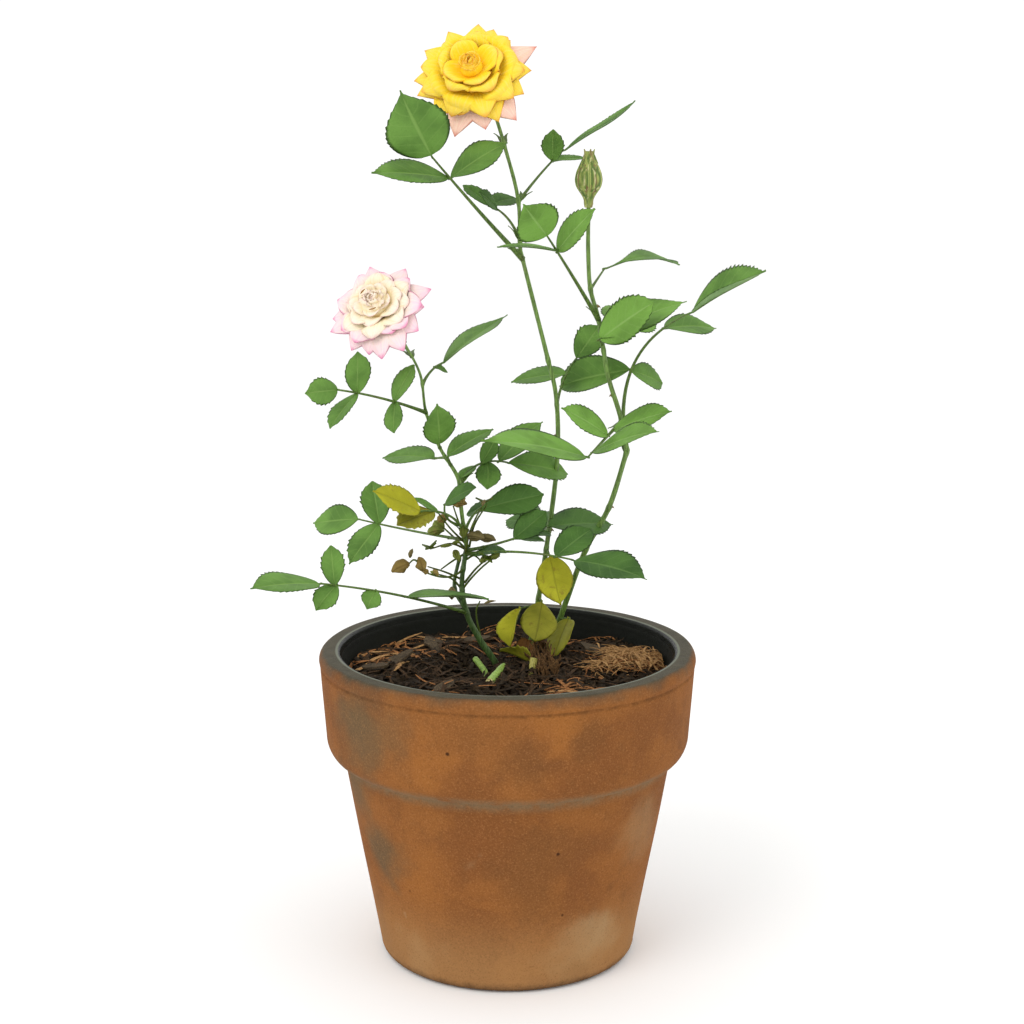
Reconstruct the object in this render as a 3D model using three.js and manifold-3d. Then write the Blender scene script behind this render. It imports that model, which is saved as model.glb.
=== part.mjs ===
// A miniature rose bush in its 15 cm clay pot: three canes rise from a bed of bark
// mulch and carry compound leaves, a yellow bloom, a pink bloom and a bud.
// Millimetres, +Z up. The origin is the centre of the pot's flat underside.
// Headings turn anticlockwise from +X, rises are taken from the level, both in degrees.

import * as THREE from "three";
import { mergeVertices } from "three/addons/utils/BufferGeometryUtils.js";
import Module from "manifold-3d";

const wasm = await Module();
wasm.setup();

// Pot
const RIM_RADIUS = 75;
const POT_HEIGHT = 124.5;
const BASE_RADIUS = 50.7;
const COLLAR_FOOT = 82;
const COLLAR_FOOT_RADIUS = 72.7;
const WALL_TOP_RADIUS = 65.9;
const MOUTH_RADIUS = 66.9;
const FLOOR_THICK = 9;
const FLOOR_RADIUS = 43.5;
const POT_SIDES = 44;

// Mulch and the cut feet of the canes
const MULCH_LEVEL = 114;
const MULCH_HEAVE = 1.6;
const CUT_LEVEL = 110;

// Plant
const CLEARANCE = 0.3;
const SHORTEST_EDGE = 0.02;
const CANE_SIDES = 6;
const TWIG_SIDES = 3;
const RING_SPACING = 9;
const STALK_SPACING = 12;
const STALK_FOOT_RADIUS = 0.75;
const STALK_TIP_RADIUS = 0.5;
const BLADE_THICK = 0.8;
const BLADE_FOLD = 5;
const BLADE_ARCH = 0.02;
const BLADE_ROWS = [0, 0.13, 0.34, 0.6, 0.83];
const ROOT_HALF_WIDTH = 0.45;

const radians = THREE.MathUtils.degToRad;

// ---------------------------------------------------------------- solids

// A closed solid of a geometry whose faces point out.
function solidOf(geometry) {
  const bare = geometry.clone();
  bare.deleteAttribute("normal");
  bare.deleteAttribute("uv");
  const merged = mergeVertices(bare, 1e-4);
  return new wasm.Manifold(new wasm.Mesh({
    numProp: 3,
    vertProperties: new Float32Array(merged.attributes.position.array),
    triVerts: new Uint32Array(merged.index.array),
  }));
}

function geometryOf(solid) {
  const mesh = solid.getMesh();
  const geometry = new THREE.BufferGeometry();
  geometry.setAttribute("position", new THREE.BufferAttribute(new Float32Array(mesh.vertProperties), 3));
  geometry.setIndex(new THREE.BufferAttribute(new Uint32Array(mesh.triVerts), 1));
  geometry.computeVertexNormals();
  return geometry;
}

// The solid of a list of corners and the triangles between them.
function solidOfFaces(corners, faces) {
  const geometry = new THREE.BufferGeometry();
  geometry.setAttribute("position", new THREE.Float32BufferAttribute(corners.flatMap((c) => c.toArray()), 3));
  geometry.setIndex(faces.flat());
  return solidOf(geometry);
}

// A cut can leave loose crumbs and needle-thin faces: only the largest piece is kept,
// without its shortest edges.
function largestPiece(solid) {
  const pieces = solid.simplify(SHORTEST_EDGE).decompose();
  return pieces.reduce((largest, piece) => (piece.volume() > largest.volume() ? piece : largest));
}

const joined = (solids) => wasm.Manifold.union(solids);

// ---------------------------------------------------------------- limbs and stalks

// A limb: a smooth curve through its bends, thinning evenly from foot to tip.
function limb(bends, footRadius, tipRadius) {
  const curve = new THREE.CatmullRomCurve3(bends.map((bend) => new THREE.Vector3(...bend)));
  return { curve, footRadius, tipRadius };
}

// The point of a rising limb at a height over the table.
function pointAtHeight(stem, height) {
  let low = 0;
  let high = 1;
  while (high - low > 1e-4) {
    const middle = (low + high) / 2;
    if (stem.curve.getPointAt(middle).z < height) low = middle;
    else high = middle;
  }
  return stem.curve.getPointAt(low);
}

// A tapered tube of flat-sided rings round a curve, with `swell` added all over.
function taperedTube({ curve, footRadius, tipRadius }, sides, spacing, swell = 0) {
  const steps = Math.max(2, Math.round(curve.getLength() / spacing));
  const frames = curve.computeFrenetFrames(steps);
  const corners = [];
  const faces = [];
  for (let ring = 0; ring <= steps; ring += 1) {
    const along = ring / steps;
    const radius = footRadius + (tipRadius - footRadius) * along + swell;
    const centre = curve.getPointAt(along);
    if (ring === 0) centre.addScaledVector(frames.tangents[0], -swell);
    if (ring === steps) centre.addScaledVector(frames.tangents[steps], swell);
    for (let side = 0; side < sides; side += 1) {
      const turn = (2 * Math.PI * side) / sides;
      corners.push(centre.clone()
        .addScaledVector(frames.normals[ring], radius * Math.cos(turn))
        .addScaledVector(frames.binormals[ring], radius * Math.sin(turn)));
    }
  }
  for (let ring = 0; ring < steps; ring += 1) {
    for (let side = 0; side < sides; side += 1) {
      const a = ring * sides + side;
      const b = ring * sides + ((side + 1) % sides);
      faces.push([a, b, b + sides], [a, b + sides, a + sides]);
    }
  }
  for (let side = 1; side < sides - 1; side += 1) {
    faces.push([0, side + 1, side]);
    faces.push([steps * sides, steps * sides + side, steps * sides + side + 1]);
  }
  return solidOfFaces(corners, faces);
}

// ---------------------------------------------------------------- leaves

// The three directions of a blade: along its midrib, out to its right, and out of its face.
// A positive roll lifts the blade's right edge.
function bladeFrame(heading, rise, roll) {
  const h = radians(heading);
  const r = radians(rise);
  const along = new THREE.Vector3(Math.cos(r) * Math.cos(h), Math.cos(r) * Math.sin(h), Math.sin(r));
  const right = new THREE.Vector3(Math.sin(h), -Math.cos(h), 0).applyAxisAngle(along, -radians(roll));
  return { along, right, face: new THREE.Vector3().crossVectors(right, along) };
}

// Half the breadth of a leaflet, a share of its full width: broadest two fifths of the way up.
const leafletOutline = (t) => (t < 0.2 ? 0 : 0.5 * Math.sin(Math.PI * t ** 0.8) ** 0.8);

// Half the breadth of a petal: narrow at its claw, broad near its pointed end.
const petalOutline = (t) => 0.5 * Math.sin(Math.PI * t ** 1.2) ** 0.7;

// A thin blade with a square-cut root and a sharp tip, arched along its midrib and
// folded up along it. Its root starts `sunk` behind its place, inside what carries it.
function blade({ root, heading, rise, length, width, roll, outline, thick, arch, fold, sunk, swell = 0 }) {
  const { along, right, face } = bladeFrame(heading, rise, roll);
  const lift = Math.tan(radians(fold));
  const deep = thick / 2 + 1.5 * swell;
  const place = (t, aside, out) => root.clone()
    .addScaledVector(along, t * (length + sunk + 2 * swell) - sunk - swell)
    .addScaledVector(right, aside)
    .addScaledVector(face, out + arch * length * Math.sin(Math.PI * t) + Math.abs(aside) * lift);
  const corners = BLADE_ROWS.flatMap((t) => {
    const half = Math.max(outline(t) * width, ROOT_HALF_WIDTH) + 2 * swell;
    return [place(t, -half, 0), place(t, 0, deep), place(t, half, 0), place(t, 0, -deep)];
  });
  const tip = corners.length;
  const faces = [[0, 2, 1], [0, 3, 2]];
  for (let near = 0; near < tip; near += 4) {
    for (let side = 0; side < 4; side += 1) {
      const a = near + side;
      const b = near + ((side + 1) % 4);
      if (near + 4 < tip) faces.push([a, b, b + 4], [a, b + 4, a + 4]);
      else faces.push([a, b, tip]);
    }
  }
  return solidOfFaces([...corners, place(1, 0, 0)], faces);
}

// A compound leaf: a three-sided stalk that leaves its limb at a height and bows to its
// reach, with a leaflet at each row's place along it.
function compoundLeaf({ on, height, reach, bow, leaflets }, swell = 0) {
  const start = pointAtHeight(on, height);
  const end = new THREE.Vector3(...reach);
  const middle = start.clone().add(end).multiplyScalar(0.5).add(new THREE.Vector3(...bow));
  const stalk = {
    curve: new THREE.QuadraticBezierCurve3(start, middle, end),
    footRadius: STALK_FOOT_RADIUS,
    tipRadius: STALK_TIP_RADIUS,
  };
  const solids = [taperedTube(stalk, TWIG_SIDES, STALK_SPACING, swell)];
  for (const [place, heading, rise, length, width, roll] of leaflets) {
    solids.push(blade({
      root: stalk.curve.getPointAt(place), heading, rise, length, width, roll, swell,
      outline: leafletOutline, thick: BLADE_THICK, arch: BLADE_ARCH, fold: BLADE_FOLD, sunk: 0.9,
    }));
  }
  return joined(solids);
}

// ---------------------------------------------------------------- pot and mulch

// The pot's inner wall widens evenly from its floor to its mouth.
const innerRadius = (z) => THREE.MathUtils.mapLinear(z, FLOOR_THICK, POT_HEIGHT, FLOOR_RADIUS, MOUTH_RADIUS);

// Points on a quarter round from one corner of a profile to the next.
function quarterRound(fromRadius, fromZ, toRadius, toZ, radiusFirst, count) {
  const points = [];
  for (let k = 1; k <= count; k += 1) {
    const turn = (k / count) * (Math.PI / 2);
    const early = Math.sin(turn);
    const late = 1 - Math.cos(turn);
    points.push(new THREE.Vector2(
      fromRadius + (toRadius - fromRadius) * (radiusFirst ? early : late),
      fromZ + (toZ - fromZ) * (radiusFirst ? late : early),
    ));
  }
  return points;
}

function terracottaPot() {
  const edge = 4;
  const collarRound = 8.4;
  const lipRound = 3.6;
  const profile = [
    new THREE.Vector2(0, 0),
    new THREE.Vector2(BASE_RADIUS - edge, 0),
    ...quarterRound(BASE_RADIUS - edge, 0, BASE_RADIUS + 0.7, edge, true, 3),
    new THREE.Vector2(WALL_TOP_RADIUS, COLLAR_FOOT),
    ...quarterRound(WALL_TOP_RADIUS, COLLAR_FOOT, COLLAR_FOOT_RADIUS, COLLAR_FOOT + collarRound, true, 4),
    new THREE.Vector2(RIM_RADIUS, POT_HEIGHT - lipRound),
    ...quarterRound(RIM_RADIUS, POT_HEIGHT - lipRound, RIM_RADIUS - 2.2, POT_HEIGHT, false, 3),
    new THREE.Vector2(MOUTH_RADIUS + 1.2, POT_HEIGHT),
    new THREE.Vector2(innerRadius(POT_HEIGHT - 1.2), POT_HEIGHT - 1.2),
    new THREE.Vector2(FLOOR_RADIUS, FLOOR_THICK),
    new THREE.Vector2(0, FLOOR_THICK),
  ];
  return solidOf(new THREE.LatheGeometry(profile, POT_SIDES).rotateX(Math.PI / 2));
}

// The mulch lies unevenly, higher round the canes' feet.
function mulchHeight(x, y) {
  const ripples = Math.sin(x / 7 + 1) * Math.cos(y / 9) + 0.7 * Math.sin((x - y) / 13);
  const heap = 2 * Math.exp(-((x - 8) ** 2 + (y - 18) ** 2) / 500);
  return MULCH_LEVEL + MULCH_HEAVE * ripples + heap;
}

function barkMulch() {
  const bottom = FLOOR_THICK + CLEARANCE;
  const profile = [new THREE.Vector2(0, bottom), new THREE.Vector2(FLOOR_RADIUS - CLEARANCE, bottom)];
  const rings = [1, 0.88, 0.74, 0.58, 0.42, 0.26, 0.12, 0];
  for (const share of rings) profile.push(new THREE.Vector2(share, MULCH_LEVEL));
  const geometry = new THREE.LatheGeometry(profile, POT_SIDES).rotateX(Math.PI / 2);
  const position = geometry.attributes.position;
  for (let k = 0; k < position.count; k += 1) {
    if (position.getZ(k) < MULCH_LEVEL - 1) continue;
    const wall = innerRadius(MULCH_LEVEL) - CLEARANCE;
    const x = position.getX(k) * wall;
    const y = position.getY(k) * wall;
    const z = mulchHeight(x, y);
    const spread = (innerRadius(z) - CLEARANCE) / wall;
    position.setXYZ(k, x * spread, y * spread, z);
  }
  return solidOf(geometry);
}

// ---------------------------------------------------------------- blooms and bud

// The directions that petals lean along, a ring of them round the way a bloom faces.
function petalRing(facing, count, lean, firstTurn) {
  const { along, right, face } = bladeFrame(facing.heading, facing.rise, 0);
  const directions = [];
  for (let k = 0; k < count; k += 1) {
    const turn = (2 * Math.PI * k) / count + radians(firstTurn);
    const out = right.clone().multiplyScalar(Math.cos(turn)).addScaledVector(face, Math.sin(turn));
    const petal = along.clone().multiplyScalar(Math.sin(radians(lean)))
      .addScaledVector(out, Math.cos(radians(lean)));
    directions.push({ petal, out });
  }
  return directions;
}

// A double bloom on the tip of its cane: a calyx that widens into a domed heart, with
// rings of pointed petals fused round it.
function bloom({ on, centre, facing, heartRadius, heartHeight, rings }, swell = 0) {
  const middle = new THREE.Vector3(...centre);
  const { along } = bladeFrame(facing.heading, facing.rise, 0);
  const heart = new THREE.SphereGeometry(1, 10, 6)
    .scale(heartRadius + swell, heartHeight + swell, heartRadius + swell)
    .applyQuaternion(new THREE.Quaternion().setFromUnitVectors(new THREE.Vector3(0, 1, 0), along))
    .translate(...middle);
  const calyx = {
    curve: new THREE.LineCurve3(on.curve.getPointAt(0.985), middle),
    footRadius: 1.9,
    tipRadius: 0.6 * heartRadius,
  };
  const solids = [solidOf(heart), taperedTube(calyx, CANE_SIDES, RING_SPACING, swell)];
  for (const { count, lean, length, width, back, firstTurn } of rings) {
    for (const { petal, out } of petalRing(facing, count, lean, firstTurn)) {
      const heading = THREE.MathUtils.radToDeg(Math.atan2(petal.y, petal.x));
      const rise = THREE.MathUtils.radToDeg(Math.asin(petal.z));
      const flat = bladeFrame(heading, rise, 0);
      const up = along.clone().addScaledVector(petal, -along.dot(petal)).normalize();
      const roll = THREE.MathUtils.radToDeg(Math.atan2(-up.dot(flat.right), up.dot(flat.face)));
      solids.push(blade({
        root: middle.clone().addScaledVector(along, -back).addScaledVector(out, 0.12 * length),
        heading, rise, roll, swell, width,
        length: 0.88 * length,
        outline: petalOutline, thick: 1.8, arch: 0.08, fold: 6, sunk: 0,
      }));
    }
  }
  return joined(solids);
}

// A closed bud on the tip of its cane: a round hip drawn in at its neck, and long sepals
// that close over its tip. Each step of the profile is a radius and a height.
function roseBud(stem, swell = 0) {
  const foot = stem.curve.getPointAt(1);
  const sunk = 1;
  const steps = [[1.7, 0], [2.2, 3], [4.4, 6.5], [5.7, 11], [4.8, 15.5], [2.9, 19], [1.9, 21.6]];
  const profile = [
    new THREE.Vector2(0, -swell),
    ...steps.map(([radius, z]) => new THREE.Vector2(radius + swell, z - swell)),
    new THREE.Vector2(0, steps.at(-1)[1] + swell),
  ];
  return solidOf(new THREE.LatheGeometry(profile, 10).rotateX(Math.PI / 2).translate(foot.x, foot.y, foot.z - sunk));
}

// ---------------------------------------------------------------- the plant's sizes

const leftCane = limb([[-4, 9, 104], [-4, 9, 113], [-11, 5, 126], [-16, 2, 137], [-18, -1, 150], [-16, -4, 166]], 1.7, 1.5);
const leftTwin = limb([[-17, 1, 140], [-21, 2, 148], [-19, 0, 161]], 0.9, 0.8);
const pinkCane = limb([[-16, -4, 166], [-18, -8, 182], [-19, -10, 194], [-26, -13, 207], [-31, -16, 221],
  [-33, -19, 236], [-39, -23, 249]], 1.4, 0.9);
const centreCane = limb([[8, 30, 104], [9, 30, 113], [16, 24, 161], [20, 20, 200], [19, 18, 224], [16, 17, 237],
  [5, 13, 280]], 1.4, 1.1);
const yellowCane = limb([[5, 13, 280], [4, 11, 300], [-1, 7, 320], [-6, 4, 336]], 1.0, 0.8);
const rightCane = limb([[16, 33, 104], [17, 33, 113], [21, 32, 126], [32, 28, 158], [41, 25, 176], [48, 22, 200]],
  1.5, 1.2);
const budCane = limb([[48, 22, 200], [45, 21, 214], [40, 22, 230], [36, 26, 253], [33, 28, 264], [32, 29, 279],
  [32, 30, 297]], 1.1, 1.0);

const CANES = [
  ["left_cane", leftCane],
  ["centre_cane", centreCane],
  ["right_cane", rightCane],
  ["left_twin_shoot", leftTwin],
  ["pink_bloom_cane", pinkCane],
  ["yellow_bloom_cane", yellowCane],
  ["bud_cane", budCane],
];

const STUBS = [
  ["cut_stub_green", limb([[2, 8, 108], [-1, 2, 115], [-4, -10, 116.6], [-7, -20, 115.6]], 1.3, 1.7)],
  ["cut_stub_pale", limb([[9, -6, 107], [9.5, -6, 115], [10.5, -4, 121]], 1.3, 1.5)],
  ["cut_stub_brown", limb([[-7, -8, 107], [-9, -3, 115], [-13, 4, 118.5]], 1.2, 1.3)],
];

// Each leaflet's row: its place along the stalk, heading, rise, length, width, roll.
const LEAVES = {
  leaf_high_left: {
    on: centreCane, height: 277, reach: [-28, -20, 317], bow: [-1, 0, 0],
    leaflets: [[0.8, 15, 30, 26, 15, -35], [0.8, -145, 4, 34, 18, 30], [1, -130, 55, 29, 24, 135]],
  },
  leaf_high_young: {
    on: yellowCane, height: 284, reach: [-7, 26, 297], bow: [2, -2, 4],
    leaflets: [[0.8, -125, 30, 14, 7, 70], [1, 50, 10, 16, 9, -30], [1, 160, 35, 14, 8, 25]],
  },
  leaf_high_right: {
    on: yellowCane, height: 299, reach: [22, 40, 318], bow: [0, -1, 2],
    leaflets: [[0.77, -90, 60, 14, 9, 180], [0.77, 40, 2, 18, 8, -15], [1, 40, 21, 44, 12, 10]],
  },
  leaf_bud_left: {
    on: budCane, height: 252, reach: [15, -6, 287], bow: [-2, 5, 4],
    leaflets: [[0.78, -35, 45, 24, 14, -65], [0.8, -145, 5, 28, 9, 5], [1, -120, 35, 22, 18, 130]],
  },
  leaf_bud_right: {
    on: budCane, height: 264, reach: [39, 41, 271], bow: [0, 0, 0],
    leaflets: [[1, 35, 0, 40, 17, -10]],
  },
  leaf_bud_front: {
    on: budCane, height: 242, reach: [36, 19, 245], bow: [0, 0, 1],
    leaflets: [[0.9, -19, 34, 27, 19, -60], [1, 13, 22, 39, 22, -20]],
  },
  leaf_far_right: {
    on: rightCane, height: 199, reach: [69, -16, 259], bow: [-17, 37, 10],
    leaflets: [[0.4, 40, -20, 19, 12, -55], [0.43, 141, -14, 38, 14, 67], [0.76, 30, -3, 25, 15, -25],
      [1, -40, 27, 38, 18, -30]],
  },
  leaf_centre_back: {
    on: centreCane, height: 219, reach: [28, 40, 235], bow: [-2, -1, 2],
    leaflets: [[0.6, 155, -10, 25, 14, 25], [1, 45, 40, 19, 12, -40]],
  },
  leaf_middle: {
    on: budCane, height: 212, reach: [31, -6, 202], bow: [0, 0, 0],
    leaflets: [[0.25, -30, 20, 27, 16, -35], [0.4, -155, 30, 24, 14, 45], [0.86, -45, 20, 36, 17, -30],
      [1, -150, 13, 49, 24, 20]],
  },
  leaf_single_right: {
    on: pinkCane, height: 200, reach: [-23, -15, 204], bow: [0, 0, 0],
    leaflets: [[1, 30, 25, 22, 13, -10]],
  },
  leaf_single_left: {
    on: pinkCane, height: 203, reach: [-28, -8, 202], bow: [0, 0, 0],
    leaflets: [[1, 145, -5, 26, 15, 20]],
  },
  leaf_single_up: {
    on: pinkCane, height: 207, reach: [-26, -17, 209], bow: [0, 0, 0],
    leaflets: [[1, -90, 55, 21, 13, 160]],
  },
  leaf_side_left: {
    on: pinkCane, height: 221, reach: [-62, -47, 234], bow: [0, 1, 2],
    leaflets: [[0.37, 25, 60, 16, 9, -25], [0.36, -90, -55, 13, 8, -25], [0.78, -85, 70, 17, 10, 165],
      [0.78, -135, -40, 18, 10, 0], [1, -135, 0, 15, 10, 80]],
  },
  leaf_pink_right: {
    on: pinkCane, height: 232, reach: [-25, -8, 239], bow: [-1, -1, 2],
    leaflets: [[0.7, 45, -20, 7, 4, -40], [1, 40, 25, 37, 21, 10]],
  },
  leaf_inner: {
    on: pinkCane, height: 192, reach: [0, 11, 197], bow: [-4, 1, 7],
    leaflets: [[0.41, -130, -20, 10, 6, 5], [0.55, 50, 45, 12, 7, -40], [0.66, -90, -40, 14, 10, 5],
      [0.85, 30, 35, 25, 15, -15], [1, 25, -14, 28, 17, -35]],
  },
  leaf_folded: {
    on: pinkCane, height: 175, reach: [-24, -18, 186], bow: [-5, -1, -3],
    leaflets: [[1, -35, 30, 17, 10, -45]],
  },
  leaf_back_left: {
    on: pinkCane, height: 169, reach: [-61, 31, 170], bow: [0, 0, -1],
    leaflets: [[0.8, 115, 70, 18, 12, 20], [0.8, -140, -45, 21, 12, 30], [1, 145, -10, 25, 14, 55]],
  },
  leaf_yellowing: {
    on: pinkCane, height: 171, reach: [-33, -27, 185], bow: [5, 0, 6],
    leaflets: [[0.74, 160, 25, 11, 7, 5], [0.78, -140, -10, 18, 11, 30], [1, -145, 25, 23, 13, 50]],
  },
  leaf_low_left: {
    on: leftCane, height: 138, reach: [-69, -53, 163], bow: [1, 0, 3],
    leaflets: [[0.44, 15, -5, 33, 19, 5], [0.65, -105, -25, 11, 8, 30], [0.91, 130, 80, 15, 9, 25],
      [0.9, -125, -30, 14, 9, 35], [1, -140, 5, 30, 17, 15]],
  },
  leaf_dark: {
    on: pinkCane, height: 172, reach: [-4, 14, 180], bow: [-3, 0, 6],
    leaflets: [[0.9, 150, -25, 14, 8, 35], [0.5, 15, 12, 28, 13, -60]],
  },
  leaf_low_right: {
    on: leftCane, height: 163, reach: [25, -27, 166], bow: [0, 0, 4],
    leaflets: [[0.38, 150, -10, 16, 9, 15], [0.84, 30, 28, 19, 15, -20], [1, -35, -5, 33, 19, -20]],
  },
  leaf_dark_right: {
    on: leftCane, height: 164.5, reach: [16, 17, 170], bow: [0, -14, 1],
    leaflets: [[0.5, 22, 36, 17, 11, -50], [0.52, 10, -8, 12, 8, -10], [0.65, 50, -5, 15, 9, -20],
      [1, 30, -5, 32, 19, -25]],
  },
  leaf_behind_yellow_bloom: {
    on: yellowCane, height: 321, reach: [-8, 35, 342], bow: [0, 0, 0],
    leaflets: [[0.77, 65, 30, 20, 12, 5], [0.77, 135, 20, 22, 13, 15], [1, 100, 15, 26, 15, -25]],
  },
  leaf_behind_pink_bloom: {
    on: pinkCane, height: 243, reach: [-48, 18, 254], bow: [0, 0, 0],
    leaflets: [[0.74, 70, 25, 21, 12, 10], [0.74, 135, 0, 22, 13, 30], [1, 115, 10, 24, 14, 0]],
  },
  leaf_behind_bud_cane: {
    on: budCane, height: 246, reach: [51, 60, 249], bow: [0, 0, 0],
    leaflets: [[0.67, 50, -10, 24, 14, -45], [0.67, 115, 20, 21, 12, 5], [1, 55, 10, 30, 17, -10]],
  },
  leaf_behind_centre_cane: {
    on: centreCane, height: 167, reach: [10, 58, 164], bow: [0, 0, 0],
    leaflets: [[0.65, 60, -5, 23, 13, -30], [0.65, 130, -5, 21, 12, 35], [1, 105, 5, 25, 14, 5]],
  },
};

const YELLOW_LEAVES = {
  yellow_leaf_high: {
    on: centreCane, height: 159, reach: [17, 20, 157], bow: [0, 0, 1],
    leaflets: [[1, -65, -60, 21, 15, -25]],
  },
  yellow_leaf_middle: {
    on: centreCane, height: 138, reach: [14, 23, 137], bow: [0, 0, 1],
    leaflets: [[1, -105, -48, 18, 15, 20]],
  },
  yellow_leaf_left: {
    on: centreCane, height: 134, reach: [5, 22, 134.5], bow: [0, 0, 1],
    leaflets: [[1, -112, -52, 17, 11, -25]],
  },
  yellow_leaf_right: {
    on: rightCane, height: 127, reach: [25, 27, 129], bow: [0, 0, 1],
    leaflets: [[1, -115, -42, 18, 15, -25]],
  },
};

const WITHERED_SPRIGS = {
  withered_leaf_foot: {
    on: centreCane, height: 119, reach: [8, 22, 121], bow: [0, 0, 0],
    leaflets: [[1, -100, -20, 13, 9, 25]],
  },
  withered_sprig_upper_right: {
    on: leftCane, height: 162, reach: [-9, -12, 185], bow: [-3, -4, 1],
    leaflets: [[0.96, -50, 60, 6, 3, -135], [0.4, -40, 5, 11, 6, -30]],
  },
  withered_sprig_upper_left: {
    on: leftCane, height: 165, reach: [-28, 6, 174], bow: [0, 2, 0],
    leaflets: [[0.8, 155, 30, 6, 3, 65], [0.8, 145, -5, 7, 4, 35]],
  },
  withered_sprig_lower_left: {
    on: leftCane, height: 157, reach: [-33, -19, 160], bow: [3, 0, -6],
    leaflets: [[0.66, -150, 55, 11, 6, 65], [0.85, -140, 25, 8, 5, 85], [1, -140, 20, 11, 8, 90]],
  },
  withered_sprig_lower_right: {
    on: leftCane, height: 148, reach: [-3, -12, 165], bow: [-1, 0, 2],
    leaflets: [[0.83, -45, 35, 6, 3, -55]],
  },
};

const BLOOMS = {
  yellow_bloom: {
    on: yellowCane,
    centre: [-13, -4, 347.5], facing: { heading: -100, rise: 33 }, heartRadius: 11, heartHeight: 9,
    rings: [
      { count: 13, lean: -8, length: 24.5, width: 12, back: 3, firstTurn: 10 },
      { count: 7, lean: 18, length: 18, width: 15, back: 1, firstTurn: 30 },
    ],
  },
  pink_bloom: {
    on: pinkCane,
    centre: [-48, -27, 262], facing: { heading: -115, rise: 38 }, heartRadius: 9, heartHeight: 8,
    rings: [
      { count: 13, lean: -4, length: 20.5, width: 11, back: 2.5, firstTurn: 0 },
      { count: 8, lean: 22, length: 14, width: 10, back: 0, firstTurn: 15 },
    ],
  },
};

// ---------------------------------------------------------------- the whole plant

const COLOURS = {
  clay: 0xb06a38,
  mulch: 0x4a3222,
  cane: 0x6f8f3c,
  leaf: 0x5f9a4b,
  yellowing: 0xb9b437,
  withered: 0x8a6b3a,
  yellow_petal: 0xf6d83a,
  pink_petal: 0xf6d2dc,
  bud: 0x86965a,
};

const bush = new THREE.Group();
const placed = [];

// Adds a solid as a named mesh, cut clear of the swollen solids placed before it.
function addPiece(name, colour, solid, swollen) {
  const clear = placed.length ? solid.subtract(joined(placed)) : solid;
  const material = new THREE.MeshStandardMaterial({ color: COLOURS[colour], roughness: 0.75, metalness: 0 });
  const mesh = new THREE.Mesh(geometryOf(largestPiece(clear)), material);
  mesh.name = name;
  bush.add(mesh);
  if (swollen) placed.push(swollen);
}

const cutLevel = (solid, level) => solid.trimByPlane([0, 0, 1], level);

for (const [name, stem] of CANES) {
  const rooted = stem.curve.getPointAt(0).z < CUT_LEVEL;
  const solid = taperedTube(stem, CANE_SIDES, RING_SPACING);
  const swollen = taperedTube(stem, CANE_SIDES, RING_SPACING, CLEARANCE);
  addPiece(
    name,
    "cane",
    rooted ? cutLevel(solid, CUT_LEVEL) : solid,
    rooted ? cutLevel(swollen, CUT_LEVEL - CLEARANCE) : swollen,
  );
}
for (const [name, stem] of STUBS) {
  const solid = cutLevel(taperedTube(stem, CANE_SIDES, RING_SPACING), CUT_LEVEL);
  const swollen = cutLevel(taperedTube(stem, CANE_SIDES, RING_SPACING, CLEARANCE), CUT_LEVEL - CLEARANCE);
  addPiece(name, "cane", solid, swollen);
}
addPiece("bark_mulch", "mulch", barkMulch(), null);
for (const [name, flower] of Object.entries(BLOOMS)) {
  addPiece(name, name === "yellow_bloom" ? "yellow_petal" : "pink_petal", bloom(flower), bloom(flower, CLEARANCE));
}
addPiece("rose_bud", "bud", roseBud(budCane), roseBud(budCane, CLEARANCE));
for (const [colour, group] of [["leaf", LEAVES], ["yellowing", YELLOW_LEAVES], ["withered", WITHERED_SPRIGS]]) {
  for (const [name, leaf] of Object.entries(group)) {
    addPiece(name, colour, compoundLeaf(leaf), compoundLeaf(leaf, CLEARANCE));
  }
}
const pot = new THREE.Mesh(
  geometryOf(terracottaPot()),
  new THREE.MeshStandardMaterial({ color: COLOURS.clay, roughness: 0.85, metalness: 0 }),
);
pot.name = "terracotta_pot";
bush.add(pot);

export default bush;
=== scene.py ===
# A miniature rose bush in its clay pot: canes that rise from a bed of bark mulch, their
# compound leaves, a yellow bloom, a pink bloom and a closed bud.
# The object's sizes are millimetres until a mesh is made. Headings turn anticlockwise
# from +X and rises are taken from the level, both in degrees.

import math

import bmesh
import bpy
import numpy as np
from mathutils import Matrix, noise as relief


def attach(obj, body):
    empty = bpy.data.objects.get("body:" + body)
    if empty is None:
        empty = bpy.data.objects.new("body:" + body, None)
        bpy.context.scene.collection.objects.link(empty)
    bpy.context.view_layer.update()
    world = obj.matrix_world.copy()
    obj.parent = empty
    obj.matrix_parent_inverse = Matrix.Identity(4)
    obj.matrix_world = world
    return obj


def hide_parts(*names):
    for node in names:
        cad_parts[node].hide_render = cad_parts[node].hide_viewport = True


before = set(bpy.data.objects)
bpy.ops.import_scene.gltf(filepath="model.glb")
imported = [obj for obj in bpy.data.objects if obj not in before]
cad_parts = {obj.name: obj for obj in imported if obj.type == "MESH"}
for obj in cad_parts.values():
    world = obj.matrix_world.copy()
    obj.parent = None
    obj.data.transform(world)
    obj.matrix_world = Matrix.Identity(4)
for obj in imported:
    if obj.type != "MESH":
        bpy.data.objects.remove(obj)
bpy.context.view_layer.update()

# ---------------------------------------------------------------- the clay pot
# A pressed 15 cm pot of bare fired clay: a deep collar with a beaded lip, a plain
# tapering wall and a rounded foot. A dark wash covers its inside and its lip, and has
# rubbed through to the clay along the lip's outer edge.
MM = 0.001
POT_HEIGHT = 124.5
LIP_RADIUS = 75
LIP_BEAD = 5.5
LIP_BAND = 3.6
LIP_ROUND = 2.2
COLLAR_FOOT = 82
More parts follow.
